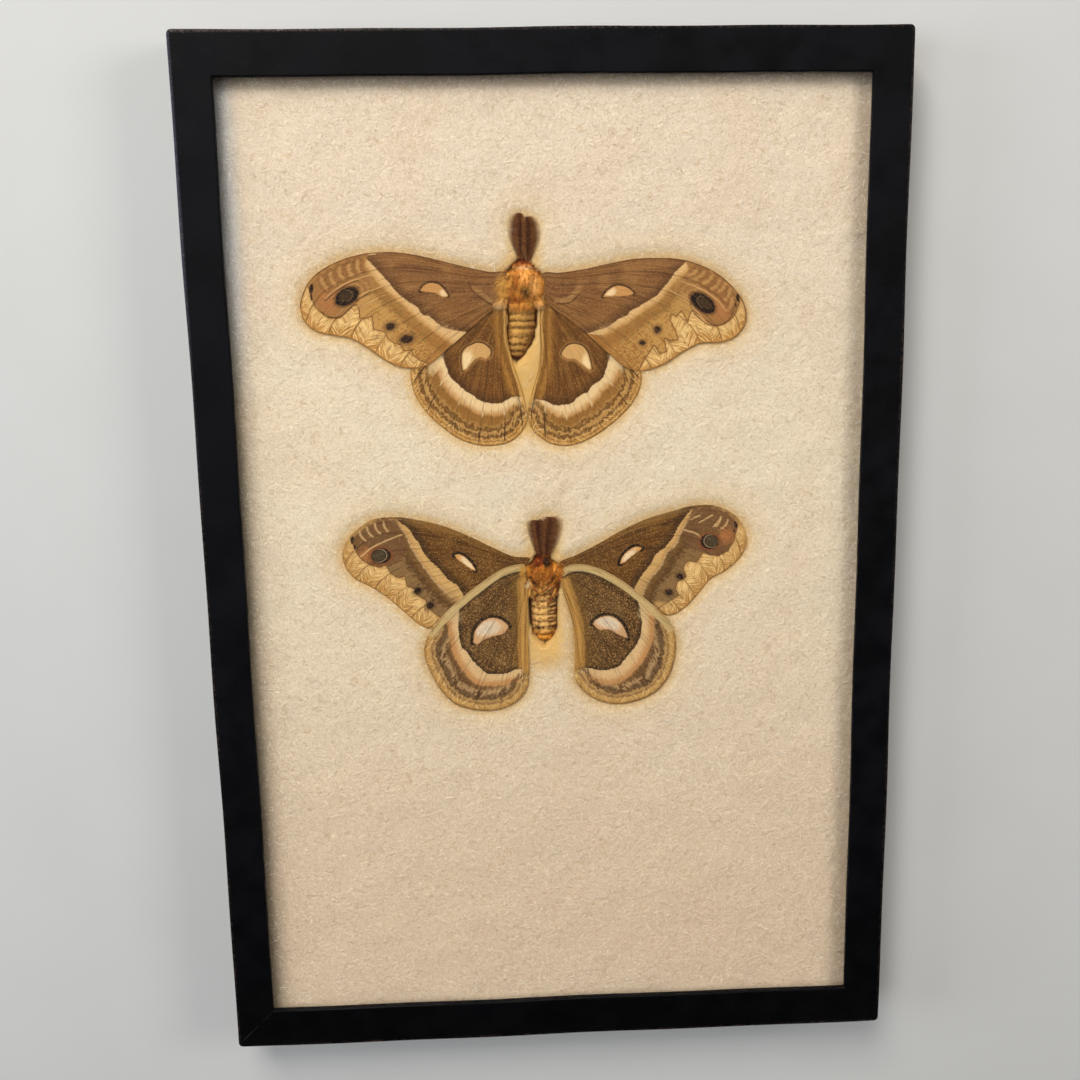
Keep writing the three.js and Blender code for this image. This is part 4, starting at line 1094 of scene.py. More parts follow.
# %% Upper side of the hindwings
hindwing_top = wing_finish(
    "hindwing scales, upper side",
    (tint(109, 67, 22), tint(88, 51, 15), tint(122, 79, 29)),
    [
        (tint(172, 120, 52), 0.7, 0.5, [("across", 0.86, 1.0), ("past_band", 1.0, -2.0)]),
        (tint(78, 46, 18), 0.8, 0.4, [("past_band", -3.2, -0.1), ("past_band", 0.3, 0.0)]),
        (tint(238, 204, 150), 1.0, 0.3, [("past_band", -0.1, 0.25)]),
        (tint(198, 144, 80), 0.9, 0.6, [("past_band_end", -2.2, 0.0)]),
        (tint(150, 104, 46), 1.0, 0.6, [("past_band_end", -0.4, 0.6)]),
        (tint(182, 136, 72), 0.85, 1.6, [("from_margin", 6.4, 5.6), ("from_margin", 4.6, 5.2)]),
        (tint(108, 70, 28), 0.8, 1.7, [("from_margin", 5.7, 4.9), ("from_margin", 3.6, 4.3)]),
        (tint(196, 150, 84), 0.85, 1.1, [("from_margin", 4.3, 3.9), ("from_margin", 3.0, 3.4)]),
        (tint(100, 64, 26), 0.8, 1.2, [("from_margin", 3.4, 2.8), ("from_margin", 1.8, 2.4)]),
        (tint(206, 156, 84), 0.95, 0.6, [("from_margin", 2.2, 1.8)]),
        (tint(128, 84, 36), 0.7, 0.5, [("from_margin", 1.5, 1.3), ("from_margin", 0.9, 1.1)]),
        (tint(160, 108, 44), 0.8, 0.2, [("from_margin", 0.55, 0.2)]),
        (FOLD_SHADE_AND_VEIN_BROWN, 0.5, 0.4, [("barbs", 0.46, 0.36), ("from_margin", 6.4, 2.2)]),
        (FOLD_HIGHLIGHT, 0.6, 0.4, [("barbs", 0.54, 0.64), ("from_margin", 5.4, 1.6)]),
        (tint(246, 214, 160), 0.85, 0.1, [("from_vein", 0.34, 0.1), ("past_band", 0.1, 0.5), ("past_band_end", 1.4, 0.0)]),
        (tint(70, 42, 18), 0.8, 0.15, [("from_vein", 0.3, 0.1), ("from_margin", 5.6, 4.5), ("from_margin", 0.6, 1.2)]),
        (tint(158, 106, 40), 0.7, 0.6, [("from_rear", 5.0, 2.6), ("past_band", 0.4, -1.0)]),
        (tint(190, 138, 64), 0.5, 1.4, [("from_rear", 3.6, 2.6), ("from_rear", 1.9, 2.6), ("past_band", 0.4, -1.0)]),
        (tint(128, 84, 30), 0.6, 1.0, [("from_rear", 2.6, 1.8), ("from_rear", 0.9, 1.5), ("from_margin", 4.0, 8.0)]),
        (tint(216, 168, 92), 0.9, 0.5, [("from_rear", 1.1, 0.6), ("from_margin", 2.0, 6.0)]),
        (tint(176, 122, 54), 0.8, 0.2, [("from_rear", 0.4, 0.15), ("from_margin", 4.0, 8.0)]),
        (tint(240, 208, 154), 0.7, 0.5, [("pale_patch", 1.3, 0.5)]),
        (tint(58, 34, 14), 0.9, 0.15, [("moon_rim", 0.9, 0.4)]),
        (tint(196, 142, 78), 0.5, 0.3, [("moon", 1.2, 0.3)]),
        (tint(58, 34, 14), 0.8, 0.15, [("moon_rim", 0.55, 0.3)]),
        (tint(214, 166, 102), 1.0, 0.1, [("moon", 0.12, -0.12)]),
        # painted highlight on the pale side of the moon spot
        (tint(250, 218, 164), 0.95, 0.25, [("moon", 0.0, -0.6), ("moon_highlight", 1.7, 0.7)]),
    ],
    speckle=0.15, grain=2500, light_streak=tint(170, 118, 54), dark_streak=tint(62, 34, 12),
)


# %% [markdown]
# The underside is greyer and more speckled: dark and pale scales are mixed like salt and pepper. The pale
# front edge of the hindwing is broad, and its moon spot is nearly white with a thick black rim above.

# %% Underside of the forewings
forewing_under = wing_finish(
    "forewing scales, underside",
    (tint(103, 63, 16), tint(84, 49, 11), tint(120, 79, 28)),
    [
        (tint(146, 106, 52), 0.7, 0.3, [("from_front", 2.6, 0.8), ("out", 0.12, 0.4)]),
        (tint(58, 36, 14), 0.8, 0.4, [("past_band", -3.0, -0.2), ("past_band", 0.3, 0.0)]),
        (tint(216, 172, 106), 1.0, 0.3, [("past_band", -0.1, 0.25)]),
        (tint(188, 132, 70), 0.8, 0.5, [("past_band_end", -1.5, 0.0)]),
        (tint(200, 172, 130), 0.7, 0.4, [("past_band_end", -0.5, -0.1), ("past_band_end", 0.5, 0.2)]),
        (tint(122, 86, 42), 1.0, 0.5, [("past_band_end", -0.2, 0.5)]),
        (tint(94, 64, 30), 0.8, 1.4, [("past_band_end", 1.0, 2.4)]),
        (tint(158, 122, 76), 0.65, 1.9, [("past_band_end", 2.8, 4.4)]),
        (tint(116, 80, 46), 0.9, 0.6, [("apex_field", 0.6, -0.3)]),
        (tint(184, 118, 64), 0.75, 0.7, [("glow", 1.4, 0.3)]),
        (tint(214, 168, 102), 1.0, 0.2, [("past_gold", -0.1, 0.15)]),
        (tint(232, 192, 124), 0.75, 0.8, [("past_gold", 0.3, 0.9), ("past_gold", 4.6, 2.4)]),
        (tint(212, 166, 98), 0.8, 0.4, [("from_margin", 4.4, 3.0), ("out", 0.55, 0.7)]),
        (tint(184, 132, 64), 0.7, 0.5, [("from_margin", 2.2, 0.6)]),
        (SHADOW_LINE, 0.7, 0.1, [("past_gold", -0.3, -0.1), ("past_gold", 0.28, 0.08)]),
        (FOLD_SHADE_AND_VEIN_BROWN, 0.75, 0.2, [("barbs", 0.47, 0.37), ("past_gold", 0.1, 0.5)]),
        (FOLD_HIGHLIGHT, 0.75, 0.2, [("barbs", 0.52, 0.62), ("past_gold", 0.1, 0.4)]),
        (FOLD_SHADE_AND_VEIN_BROWN, 0.6, 0.1, [("from_vein", 0.3, 0.1), ("past_gold", 0.2, 0.6)]),
        (tint(150, 102, 46), 0.8, 0.15, [("from_margin", 0.5, 0.15)]),
        (tint(190, 144, 82), 0.7, 0.3, [("from_front", 1.4, 0.6), ("out", 0.66, 0.76)]),
        (tint(78, 52, 24), 0.5, 0.6, [("smudge", 2.1, 1.2)]),
        (tint(36, 20, 10), 1.0, 0.3, [("smudge", 1.15, 0.75)]),
        (tint(190, 150, 94), 0.5, 0.6, [("pale_patch", 1.5, 0.5)]),
        (tint(28, 15, 6), 1.0, 0.1, [("moon_rim", 1.0, 0.7)]),
        (tint(222, 162, 96), 1.0, 0.1, [("moon", 0.12, -0.12)]),
        # painted highlight on the pale side of the moon spot
        (tint(250, 222, 178), 0.95, 0.25, [("moon", 0.0, -0.45), ("moon_highlight", 1.5, 0.6)]),
        (tint(216, 176, 120), 0.8, 0.1, [("pale_line", 0.36, 0.12)]),
        (tint(216, 176, 120), 0.7, 0.15, [("arc", 0.5, 0.15)]),
        (tint(134, 74, 36), 0.8, 0.2, [("eye", 1.6, 1.2)]),
        (tint(30, 15, 8), 1.0, 0.06, [("eye", 1.2, 1.04)]),
        (tint(78, 66, 44), 0.9, 0.06, [("eye_light", 0.86, 0.7)]),
        (tint(164, 140, 104), 0.8, 0.04, [("eye_light", 0.84, 0.9), ("eye_light", 1.04, 0.97), ("eye", 1.1, 1.0)]),
        (tint(44, 20, 12), 1.0, 0.15, [("apex_mark", 1.15, 0.8)]),
    ],
    speckle=0.4, grain=2500, light_streak=tint(146, 102, 46), dark_streak=tint(54, 32, 12),
)

# %% Underside of the hindwings
hindwing_under = wing_finish(
    "hindwing scales, underside",
    (tint(99, 69, 31), tint(77, 49, 20), tint(118, 88, 48)),
    [
        (tint(112, 78, 32), 0.7, 0.5, [("out", 0.34, 0.1), ("past_band", 0.0, -1.0)]),
        (tint(46, 28, 12), 0.8, 0.5, [("past_band", -1.6, -0.1), ("past_band", 0.3, 0.0)]),
        (tint(226, 188, 134), 1.0, 0.25, [("past_band", -0.1, 0.25)]),
        (tint(196, 138, 80), 0.9, 0.6, [("past_band_end", -3.0, -0.8)]),
        (tint(126, 90, 50), 1.0, 0.5, [("past_band_end", -0.5, 0.3)]),
        (tint(100, 68, 36), 0.75, 1.4, [("past_band_end", 0.0, 1.2), ("from_margin", 3.4, 4.2)]),
        (tint(192, 154, 106), 0.85, 1.2, [("from_margin", 7.4, 6.0), ("from_margin", 3.4, 4.4),
                                         ("cell", 0.05, 0.35), ("past_band_end", -0.4, 0.4)]),
        (tint(84, 54, 28), 0.7, 0.8, [("from_margin", 5.8, 5.2), ("from_margin", 4.2, 4.8),
                                      ("cell", 0.5, 0.8), ("past_band_end", -0.2, 0.6)]),
        (tint(82, 54, 26), 0.75, 1.3, [("from_margin", 5.2, 4.4), ("from_margin", 3.2, 3.8)]),
        (tint(196, 154, 94), 0.85, 0.8, [("from_margin", 3.6, 3.0)]),
        (tint(124, 84, 42), 0.65, 0.5, [("from_margin", 2.8, 2.4), ("from_margin", 1.9, 2.2)]),
        (tint(210, 166, 98), 0.95, 0.3, [("from_margin", 2.0, 1.7)]),
        (tint(176, 128, 62), 0.7, 0.3, [("from_margin", 1.2, 0.5)]),
        (tint(150, 104, 48), 0.8, 0.15, [("from_margin", 0.5, 0.15)]),
        (FOLD_SHADE_AND_VEIN_BROWN, 0.5, 0.3, [("barbs", 0.46, 0.36), ("from_margin", 3.4, 1.8)]),
        (FOLD_HIGHLIGHT, 0.6, 0.3, [("barbs", 0.54, 0.64), ("from_margin", 4.4, 1.6)]),
        (tint(118, 84, 34), 0.7, 0.5, [("from_rear", 6.5, 3.4), ("past_band", 0.0, -1.0)]),
        (tint(176, 128, 60), 0.9, 0.4, [("from_rear", 3.4, 2.8), ("past_band", 0.4, -0.6)]),
        (tint(200, 150, 76), 0.95, 0.3, [("from_rear", 2.3, 1.8), ("from_margin", 3.0, 6.0)]),
        (tint(168, 118, 52), 0.7, 0.3, [("from_rear", 1.2, 0.9), ("from_rear", 0.4, 0.7), ("from_margin", 3.0, 6.0)]),
        (tint(40, 24, 10), 0.9, 0.2, [("from_front", 3.1, 2.4), ("past_band", 0.2, -0.6), ("out", 0.62, 0.4)]),
        (tint(206, 176, 118), 1.0, 0.15, [("from_front", 2.4, 1.9), ("across", 0.5, 0.4)]),
        (tint(168, 134, 82), 0.7, 0.4, [("from_front", 0.9, 0.2), ("across", 0.5, 0.4)]),
        (tint(216, 184, 130), 0.6, 0.5, [("pale_patch", 1.3, 0.5)]),
        (tint(24, 14, 8), 0.95, 0.15, [("moon_rim", 1.0, 0.55)]),
        (tint(146, 98, 58), 0.9, 0.3, [("moon", 0.05, -0.15)]),
        (tint(216, 168, 118), 1.0, 0.15, [("moon", -0.15, -0.4)]),
        # painted highlight on the pale side of the moon spot
        (tint(232, 208, 174), 1.0, 0.25, [("moon", -0.25, -0.85), ("moon_highlight", 1.5, 0.8)]),
        (tint(206, 190, 168), 0.45, 0.6, [("moon_highlight", 0.8, 0.2)]),
    ],
    speckle=0.75, grain=2500, light_streak=tint(148, 108, 56), dark_streak=tint(42, 26, 10),
)
print("wing finishes:", [m.name for m in (forewing_top, hindwing_top, forewing_under, hindwing_under)])


# %% [markdown]
# ## The wings
# A grid of quads is laid on each wing, fine enough for the wrinkles between the veins. Veins stand up a
# little, the membrane sags and crinkles between them, and the pressed wing waves gently. A Solidify
# modifier then gives the sheet its thickness.

# %% Build a wing
QUAD = 0.28
SHEET = 0.1
BARB_PITCH = 1.3


def waves(points, pitch, seed):
    """Smooth noise made of a few crossing waves."""
    draw = np.random.default_rng(seed)
    height = np.zeros(len(points))
    for _ in range(7):
        turn, phase = draw.uniform(0, math.pi), draw.uniform(0, 2 * math.pi)
        length = pitch * draw.uniform(0.6, 1.7)
        way = points[:, 0] * math.cos(turn) + points[:, 1] * math.sin(turn)
        height += np.sin(way * 2 * math.pi / length + phase)
    return height / 4


def build_wing(name, wing, material, seed):
    outline = wing["outline"]
    length = np.linalg.norm((outline[0] + outline[-1]) / 2 - (outline[wing["apex"]] + outline[wing["corner"]]) / 2)
    width = np.linalg.norm(outline[wing["apex"]] - outline[wing["corner"]])
    bm = bmesh.new()
    bmesh.ops.create_grid(bm, x_segments=int(length / QUAD), y_segments=int(width / QUAD), size=0.5)
    mesh = to_mesh(bm, name)
    flat = places_of(mesh)
    out, across = np.clip(flat[:, 0] + 0.5, 0, 1), np.clip(0.5 - flat[:, 1], 0, 1)
    points = on_wing(wing, out, across)
    fields = wing_fields(name, wing, points, out, across)
    ridge = 0.1 * np.exp(-((fields["from_vein"] / 0.22) ** 2))
    wrinkles = 0.035 * waves(np.column_stack([out * length * 0.35, across * width]), 1.1, seed)
    swell = 0.07 * waves(points, 17, seed + 50)
    crease = 0.045 * np.sin(fields["barb"] * 2 * math.pi / BARB_PITCH) * ramp(fields["from_margin"], 6.5, 3.0)
    pillow = 0.09 * ramp(fields["moon"], 0.3, -1.0)
    rise = ridge + crease + pillow + (wrinkles + swell) * np.clip(fields["from_margin"] / 2, 0.4, 1)
    top = wing["layer"] + WING_SOLID - 0.06
    set_places(mesh, np.column_stack([points, top + rise]))
    for field, values in fields.items():
        set_field(mesh, field, values)
    grid = mesh.uv_layers.new(name="scales")
    corner_vertex = np.empty(len(mesh.loops), dtype=int)
    mesh.loops.foreach_get("vertex_index", corner_vertex)
    steps = np.column_stack([out * length, across * width]) / 100
    grid.data.foreach_set("uv", steps[corner_vertex].ravel())
    if mesh.polygons[0].normal.z < 0:
        mesh.flip_normals()
    mesh.shade_smooth()
    piece = make_piece(mesh, name.replace("moth_", "moth_scaled_"), material, [name])
    sheet = piece.modifiers.new("thickness", "SOLIDIFY")
    sheet.thickness = SHEET * MM
    sheet.offset = -1
    return piece


for seed, (name, wing) in enumerate(WINGS.items()):
    on_top = name.startswith("upper")
    if "forewing" in name:
        material = forewing_top if on_top else forewing_under
    else:
        material = hindwing_top if on_top else hindwing_under
    build_wing(name, wing, material, seed)


# %% [markdown]
# ## Strands
# Fur, feathered antennae and loose cotton fibres are all the same thing at this size: thin, tapering,
# slightly bent strands. Thousands of them are one mesh, computed as arrays: each strand is three rings of
# three corners and a tip.

# %% Many strands as one mesh
RINGS = ((0.0, 1.0), (0.38, 0.9), (0.74, 0.6))


def strands(name, roots, ways, bends, radius, colours, ceiling=None):
    """Strands from their roots along ways, bending by the bends, all in millimetres."""
    count = len(roots)
    aside = np.cross(ways, bends + np.array([0.01, 0.02, 1.0]))
    aside /= np.linalg.norm(aside, axis=1, keepdims=True) + 1e-9
    other = np.cross(ways, aside)
    other /= np.linalg.norm(other, axis=1, keepdims=True) + 1e-9
    radius = np.broadcast_to(radius, count)[:, None]
    layers = []
    for share, thickness in RINGS:
        middle = roots + ways * share + bends * share**2
        for corner in range(3):
            turn = corner * 2 * math.pi / 3
            layers.append(middle + (aside * math.cos(turn) + other * math.sin(turn)) * radius * thickness)
    layers.append(roots + ways + bends)
    places = np.stack(layers, axis=1)
    if ceiling is not None:
        places[..., 2] = np.minimum(places[..., 2], ceiling)
    faces = [(2, 1, 0)]
    for ring in range(len(RINGS) - 1):
        for corner in range(3):
            low, next_low = ring * 3 + corner, ring * 3 + (corner + 1) % 3
            faces.append((low, next_low, next_low + 3, low + 3))
    last = (len(RINGS) - 1) * 3
    for corner in range(3):
        faces.append((last + corner, last + (corner + 1) % 3, last + 3))
    per_strand = last + 4
    whole = [tuple(number + i * per_strand for number in face) for i in range(count) for face in faces]
    mesh = bpy.data.meshes.new(name)
    mesh.from_pydata(places.reshape(-1, 3).tolist(), [], whole)
    set_colours(mesh, "fur", np.repeat(colours, per_strand, axis=0))
    mesh.shade_smooth()
    return mesh


# %% [markdown]
# ## Bodies
# Under the fur a moth's body is a turned form, flattened by the press and bent a little: a ringed
# abdomen, a broad thorax with a lobe at each wing root, and a head with two eyes. The same tables as in
# the plain solids give the form, spun in finer steps.

# %% Shapes of the two bodies
BODY_MIDDLE = 10.9
ABDOMEN_FLATNESS = 0.86
THORAX_FLATNESS = 0.68
EYE_RADIUS = 0.9
UPPER_BODY = {
    "waist": 77.5,
    "tail": (62.0, 0.6),
    "rings": [(63.4, 2.2), (65.2, 3.1), (67.2, 3.7), (69.4, 3.95), (71.6, 4.0), (73.8, 4.05), (76, 4.2)],
    "front": [(78, 4.0), (79.6, 4.9), (82, 5.5), (84.6, 5.4), (86.8, 4.4), (87.9, 3.0), (89, 2.5),
              (89.9, 1.3)],
    "nose": 90.2,
    "spine": [(61, -10.1), (64.5, -9.4), (68, -8.5), (72, -8.0), (78, -7.8), (91, -7.6)],
    "lobes": [(-11.7, 82.6, 11.8, 3.2, 4.6, 2.6, 0.25), (-3.6, 82.4, 11.8, 2.5, 4.6, 2.6, -0.2)],
    "eyes": [(-9.9, 88.5, 12.2), (-5.3, 88.5, 12.2)],
    "legs": [],
    "tufts": [(-13.0, 83.0, 1.2, 3.2, -0.6, -0.7, 1.9, 850), (-3.0, 83.0, 0.9, 3.0, 0.5, -0.8, 1.5, 600),
              (-11.0, 83.6, 0.7, 3.0, -0.3, -0.9, 2.0, 350),
              (-13.6, 78.8, 1.4, 1.0, -0.5, -0.9, 2.2, 320), (-3.2, 78.0, 1.0, 0.9, 0.5, -0.9, 1.8, 220),
              (-8.4, 77.6, 3.0, 0.7, 0.0, -1.0, 1.6, 320)],
}
LOWER_BODY = {
    "waist": -8.5,
    "tail": (-23.3, 0.9),
    "rings": [(-22.2, 2.5), (-20.2, 3.4), (-18.1, 3.85), (-16, 4.0), (-13.9, 4.1), (-11.8, 4.15),
              (-9.8, 4.2)],
    "front": [(-8, 4.2), (-6.6, 4.7), (-4, 5.0), (-1.5, 5.0), (0.4, 4.3), (1.2, 3.0), (2.2, 2.6),
              (3.4, 1.5)],
    "nose": 3.9,
    "spine": [(-24, -2.9), (-18, -3.2), (-10, -3.3), (-4, -3.8), (4, -3.3)],
    "lobes": [(-8.3, -1.4, 11.4, 2.4, 3.2, 2.4, 0.5), (0.3, -1.2, 11.4, 1.7, 3.4, 2.4, -0.3)],
    "eyes": [(-4.9, 1.5, 13.2), (-2.0, 1.4, 13.4)],
    "legs": [
        [(-8.9, 0.2), (-6.6, -2.2), (-4.7, -5.2)], [(1.0, 0.4), (-0.7, -2.6), (-2.5, -4.6)],
        [(-7.7, -3.6), (-6.2, -6.4), (-4.5, -8.4)], [(0.7, -3.8), (-1.5, -6.0), (-3.8, -7.8)],
        [(-6.9, -6.8), (-6.0, -9.2), (-5.1, -11.0)], [(0.5, -6.9), (-0.8, -9.4), (-1.7, -11.2)]],
    "tufts": [(-9.0, -0.8, 0.9, 1.6, -0.6, -0.3, 1.5, 420), (-7.9, -5.0, 0.6, 0.9, -0.6, -0.5, 1.3, 260),
              (1.5, -1.6, 0.8, 2.4, 0.7, -0.4, 1.6, 350), (-7.6, -7.4, 0.6, 1.2, -0.3, -0.9, 1.4, 150)],
}
LEG_RADIUS = 0.3
LEG_LEVEL = 14.55


# %% Form of a body
def ring_profile(body):
    line = [(0.0, body["tail"][0]), (body["tail"][1], body["tail"][0] + 0.25)]
    rings = body["rings"]
    for (y, radius), (next_y, next_radius) in zip(rings, rings[1:] + [body["front"][0]]):
        step = next_y - y
        line += [(radius * 0.985, y - step * 0.22), (radius, y + step * 0.1), (radius * 0.97, y + step * 0.36)]
        line.append(((radius + next_radius) / 2 * 0.91, y + step * 0.55))
    front = smooth_line([(radius, y) for y, radius in body["front"]], 3)
    return line + [tuple(point) for point in front] + [(0.0, body["nose"])]


def spun_trunk(body, bm):
    points = [bm.verts.new((radius, y, 0)) for radius, y in ring_profile(body)]
    edges = [bm.edges.new(pair) for pair in zip(points, points[1:])]
    bmesh.ops.spin(bm, geom=points + edges, cent=(0, 0, 0), axis=(0, 1, 0), angle=2 * math.pi, steps=40,
                   use_merge=True)
    bmesh.ops.remove_doubles(bm, verts=bm.verts, dist=1e-4)
    spine_y, spine_x = zip(*body["spine"])
    for vert in bm.verts:
        x, y, z = vert.co
        share = np.clip((y - body["waist"] + 1) / 4, 0, 1)
        flatness = lerp(ABDOMEN_FLATNESS, THORAX_FLATNESS, share * share * (3 - 2 * share))
        vert.co = (x + np.interp(y, spine_y, spine_x), y, z * flatness + BODY_MIDDLE)


def add_ball(bm, x, y, z, half_x, half_y, half_z, turn):
    place = Matrix.Translation((x, y, z)) @ Matrix.Rotation(turn, 4, "Z")
    size = Matrix.Diagonal((half_x, half_y, half_z, 1))
    bmesh.ops.create_uvsphere(bm, u_segments=24, v_segments=16, radius=1, matrix=place @ size)


def add_leg(bm, points):
    route = smooth_line([(x, y, LEG_LEVEL - (0.9 if i == 0 else 0)) for i, (x, y) in enumerate(points)], 5)
    rings = []
    for i, point in enumerate(route):
        ahead = route[min(i + 1, len(route) - 1)] - route[max(i - 1, 0)]
        frame_turn = Vector(ahead).to_track_quat("Z", "Y").to_matrix().to_4x4()
        radius = LEG_RADIUS * (1 - 0.35 * i / len(route))
        made = bmesh.ops.create_circle(bm, segments=8, radius=radius,
                                       matrix=Matrix.Translation(point) @ frame_turn)
        rings.append({edge for vert in made["verts"] for edge in vert.link_edges})
    for near, far in zip(rings, rings[1:]):
        bmesh.ops.bridge_loops(bm, edges=list(near | far))
    for end in (rings[0], rings[-1]):
        bmesh.ops.holes_fill(bm, edges=list(end), sides=8)


def body_form(body):
    bm = bmesh.new()
    spun_trunk(body, bm)
    for lobe in body["lobes"]:
        add_ball(bm, *lobe)
    for eye in body["eyes"]:
        add_ball(bm, *eye, EYE_RADIUS, EYE_RADIUS, EYE_RADIUS, 0)
    for leg in body["legs"]:
        add_leg(bm, leg)
    bmesh.ops.recalc_face_normals(bm, faces=bm.faces)
    return bm


# %% [markdown]
# ## Fur colours
# Fur changes colour over the body: orange tan on the thorax with pale tufts, and cream rings with brown
# grooves on the abdomen. A function gives the colour at any place, as a chain of soft spots laid over
# each other. Skin and fur ask the same function, so they agree.

# %% Colour of the fur at a place
def lay(colours, paint, cover):
    return lerp(colours, paint, np.clip(cover, 0, 1)[:, None])


def soft_spot(points, x, y, half_x, half_y):
    return np.exp(-(((points[:, 0] - x) / half_x) ** 2) - ((points[:, 1] - y) / half_y) ** 2)


def upper_fur(points):
    x, y = points[:, 0], points[:, 1]
    spine = np.interp(y, *zip(*UPPER_BODY["spine"]))
    colours = np.tile(tint(240, 168, 70), (len(points), 1))
    for place, paint, cover in [
        ((-13.2, 83.2, 2.0, 3.4), tint(255, 194, 96), 1.0), ((-4.4, 83.2, 1.2, 2.8), tint(250, 196, 116), 0.9),
        ((-7.0, 81, 1.2, 2.0), tint(120, 84, 40), 1.0), ((-9.4, 79.0, 2.0, 1.0), tint(196, 96, 24), 0.8),
        ((-2.6, 86.6, 1.3, 1.2), tint(132, 60, 18), 1.0), ((-9.4, 84.0, 0.8, 2.4), tint(190, 100, 28), 0.9),
        ((-11.6, 87.2, 1.4, 0.8), tint(140, 64, 18), 0.9), ((-10.8, 81.6, 0.6, 1.8), tint(196, 112, 34), 0.8),
        ((-1.8, 81.4, 1.0, 1.6), tint(196, 116, 44), 0.7), ((-7.4, 85.2, 1.4, 1.6), tint(250, 178, 100), 0.8),
        ((-13.8, 78.2, 1.8, 1.2), tint(244, 206, 146), 0.9), ((-3, 77.4, 1.2, 0.9), tint(244, 208, 152), 0.8),
        ((-9.6, 76.8, 2.6, 1.0), tint(244, 170, 78), 0.8), ((-5.6, 76.2, 1.8, 1.0), tint(196, 116, 46), 0.8),
    ]:
        colours = lay(colours, paint, soft_spot(points, *place) * cover)
    colours = lay(colours, tint(232, 186, 132), soft_spot(points, -6.5, 87.9, 3.4, 0.5) * 1.2)
    colours = lay(colours, tint(206, 120, 58), ramp(y, 88.2, 88.8))
    wavy = 0.16 * waves(points * (1, 0.4, 1), 2.4, 6)
    ring = np.abs(((y - 62.6) / 1.72 + 0.12 * (x - spine) / 4 + wavy) % 1 - 0.5) * 2
    abdomen = ramp(y, 76.6, 75.4)
    side = np.clip((x - spine) / 4, -1, 1)
    # Painted shade: the abdomen is lighter on its left flank and darker on its right, as light falls on the round body.
    cream = lerp(tint(204, 154, 78), tint(156, 114, 56), ramp(side, -0.5, 0.9)[:, None])
    colours = lerp(colours, cream, abdomen[:, None])
    colours = lay(colours, tint(98, 66, 26), ramp(ring, 0.72, 0.98) * abdomen * 0.9)
    colours = lay(colours, tint(120, 72, 26), ramp(np.abs(side), 0.86, 1.05) * abdomen * 0.7)
    return lay(colours, tint(112, 66, 24), ramp(y, 63.6, 62.4))


def lower_fur(points):
    x, y = points[:, 0], points[:, 1]
    spine = np.interp(y, *zip(*LOWER_BODY["spine"]))
    colours = np.tile(tint(194, 120, 34), (len(points), 1))
    for place, paint, cover in [
        ((-9.4, -0.4, 1.2, 1.6), tint(255, 200, 90), 0.9), ((-7.6, -6.2, 1.4, 1.6), tint(248, 190, 92), 0.9),
        ((-3.4, -1.8, 2.2, 1.2), tint(214, 138, 50), 0.8), ((0.4, -1.0, 1.0, 1.8), tint(220, 144, 60), 0.8),
        ((-4, -4, 1.4, 1.2), tint(196, 116, 36), 0.6), ((1.2, -4, 0.7, 2.4), tint(190, 106, 34), 0.8),
        ((-2.4, -6.6, 1.8, 1.0), tint(255, 206, 122), 0.9), ((-6.4, -2.6, 0.8, 2.0), tint(196, 108, 32), 0.6),
        ((-7.7, -5.0, 0.7, 0.7), tint(246, 212, 160), 1.4), ((-4.4, -7.4, 3.4, 1.8), tint(246, 186, 92), 0.9),
    ]:
        colours = lay(colours, paint, soft_spot(points, *place) * cover)
    colours = lay(colours, tint(142, 58, 14), soft_spot(points, -4.4, 1.6, 1.7, 1.7) * 1.6)
    colours = lay(colours, tint(42, 18, 8), ramp(from_oval(points, (-2.05, 1.3, 1.1, 1.25, 20)), 1.1, 0.9))
    abdomen = ramp(y, -7.6, -9.6)
    colours = lay(colours, tint(228, 180, 106), abdomen)
    speckles = waves(points, 1.5, 5) + 0.6 * waves(points, 0.9, 8)
    colours = lay(colours, tint(134, 84, 32), ramp(speckles, 0.22, 0.7) * abdomen * 0.9)
    bars = np.abs((y / 1.24 + 0.1 * x) % 1 - 0.5) * 2
    colours = lay(colours, tint(92, 54, 26), ramp(bars, 0.35, 0.6) * ramp(x, -2.6, -1.6) * abdomen)
    side = np.clip((x - spine) / 4, -1, 1)
    colours = lay(colours, tint(96, 54, 18), ramp(-side, 0.8, 0.95) * abdomen * 0.95)
    colours = lay(colours, tint(110, 66, 24), ramp(side, 0.94, 1.0) * abdomen * 0.8)
    colours = lay(colours, tint(234, 158, 46), ramp(y, -19.2, -21.6) * 0.85)
    return lay(colours, tint(58, 30, 14), soft_spot(points, -4.9, -19, 0.6, 0.6) * 1.6)


# %% Finish of the fur
def fur_finish():
    fur = Finish("moth fur", 0.75, specular=0.06)
    base = fur.node("Attribute", attribute_name="fur").outputs["Color"]
    dark = fur.fade(fur.noise(1400, 2), 0.48, 0.3, 0.0, 0.3)
    colour = fur.mix(base, tint(84, 46, 14), dark)
    light = fur.fade(fur.noise(1900, 2), 0.55, 0.75, 0.0, 0.35)
    colour = fur.mix(colour, tint(240, 200, 130), light)
    return fur.wear(colour, bump=fur.bump(fur.noise(2500, 2), 0.4, 0.08))


fur_material = fur_finish()


# %% [markdown]
# ## Growing the fur
# Roots are scattered over the upward faces of the form, more where a face is large. Every strand leans
# back towards the tail and outwards from the spine, and neighbours lean the same way, which gives tufts.
# The glass presses the tips flat.

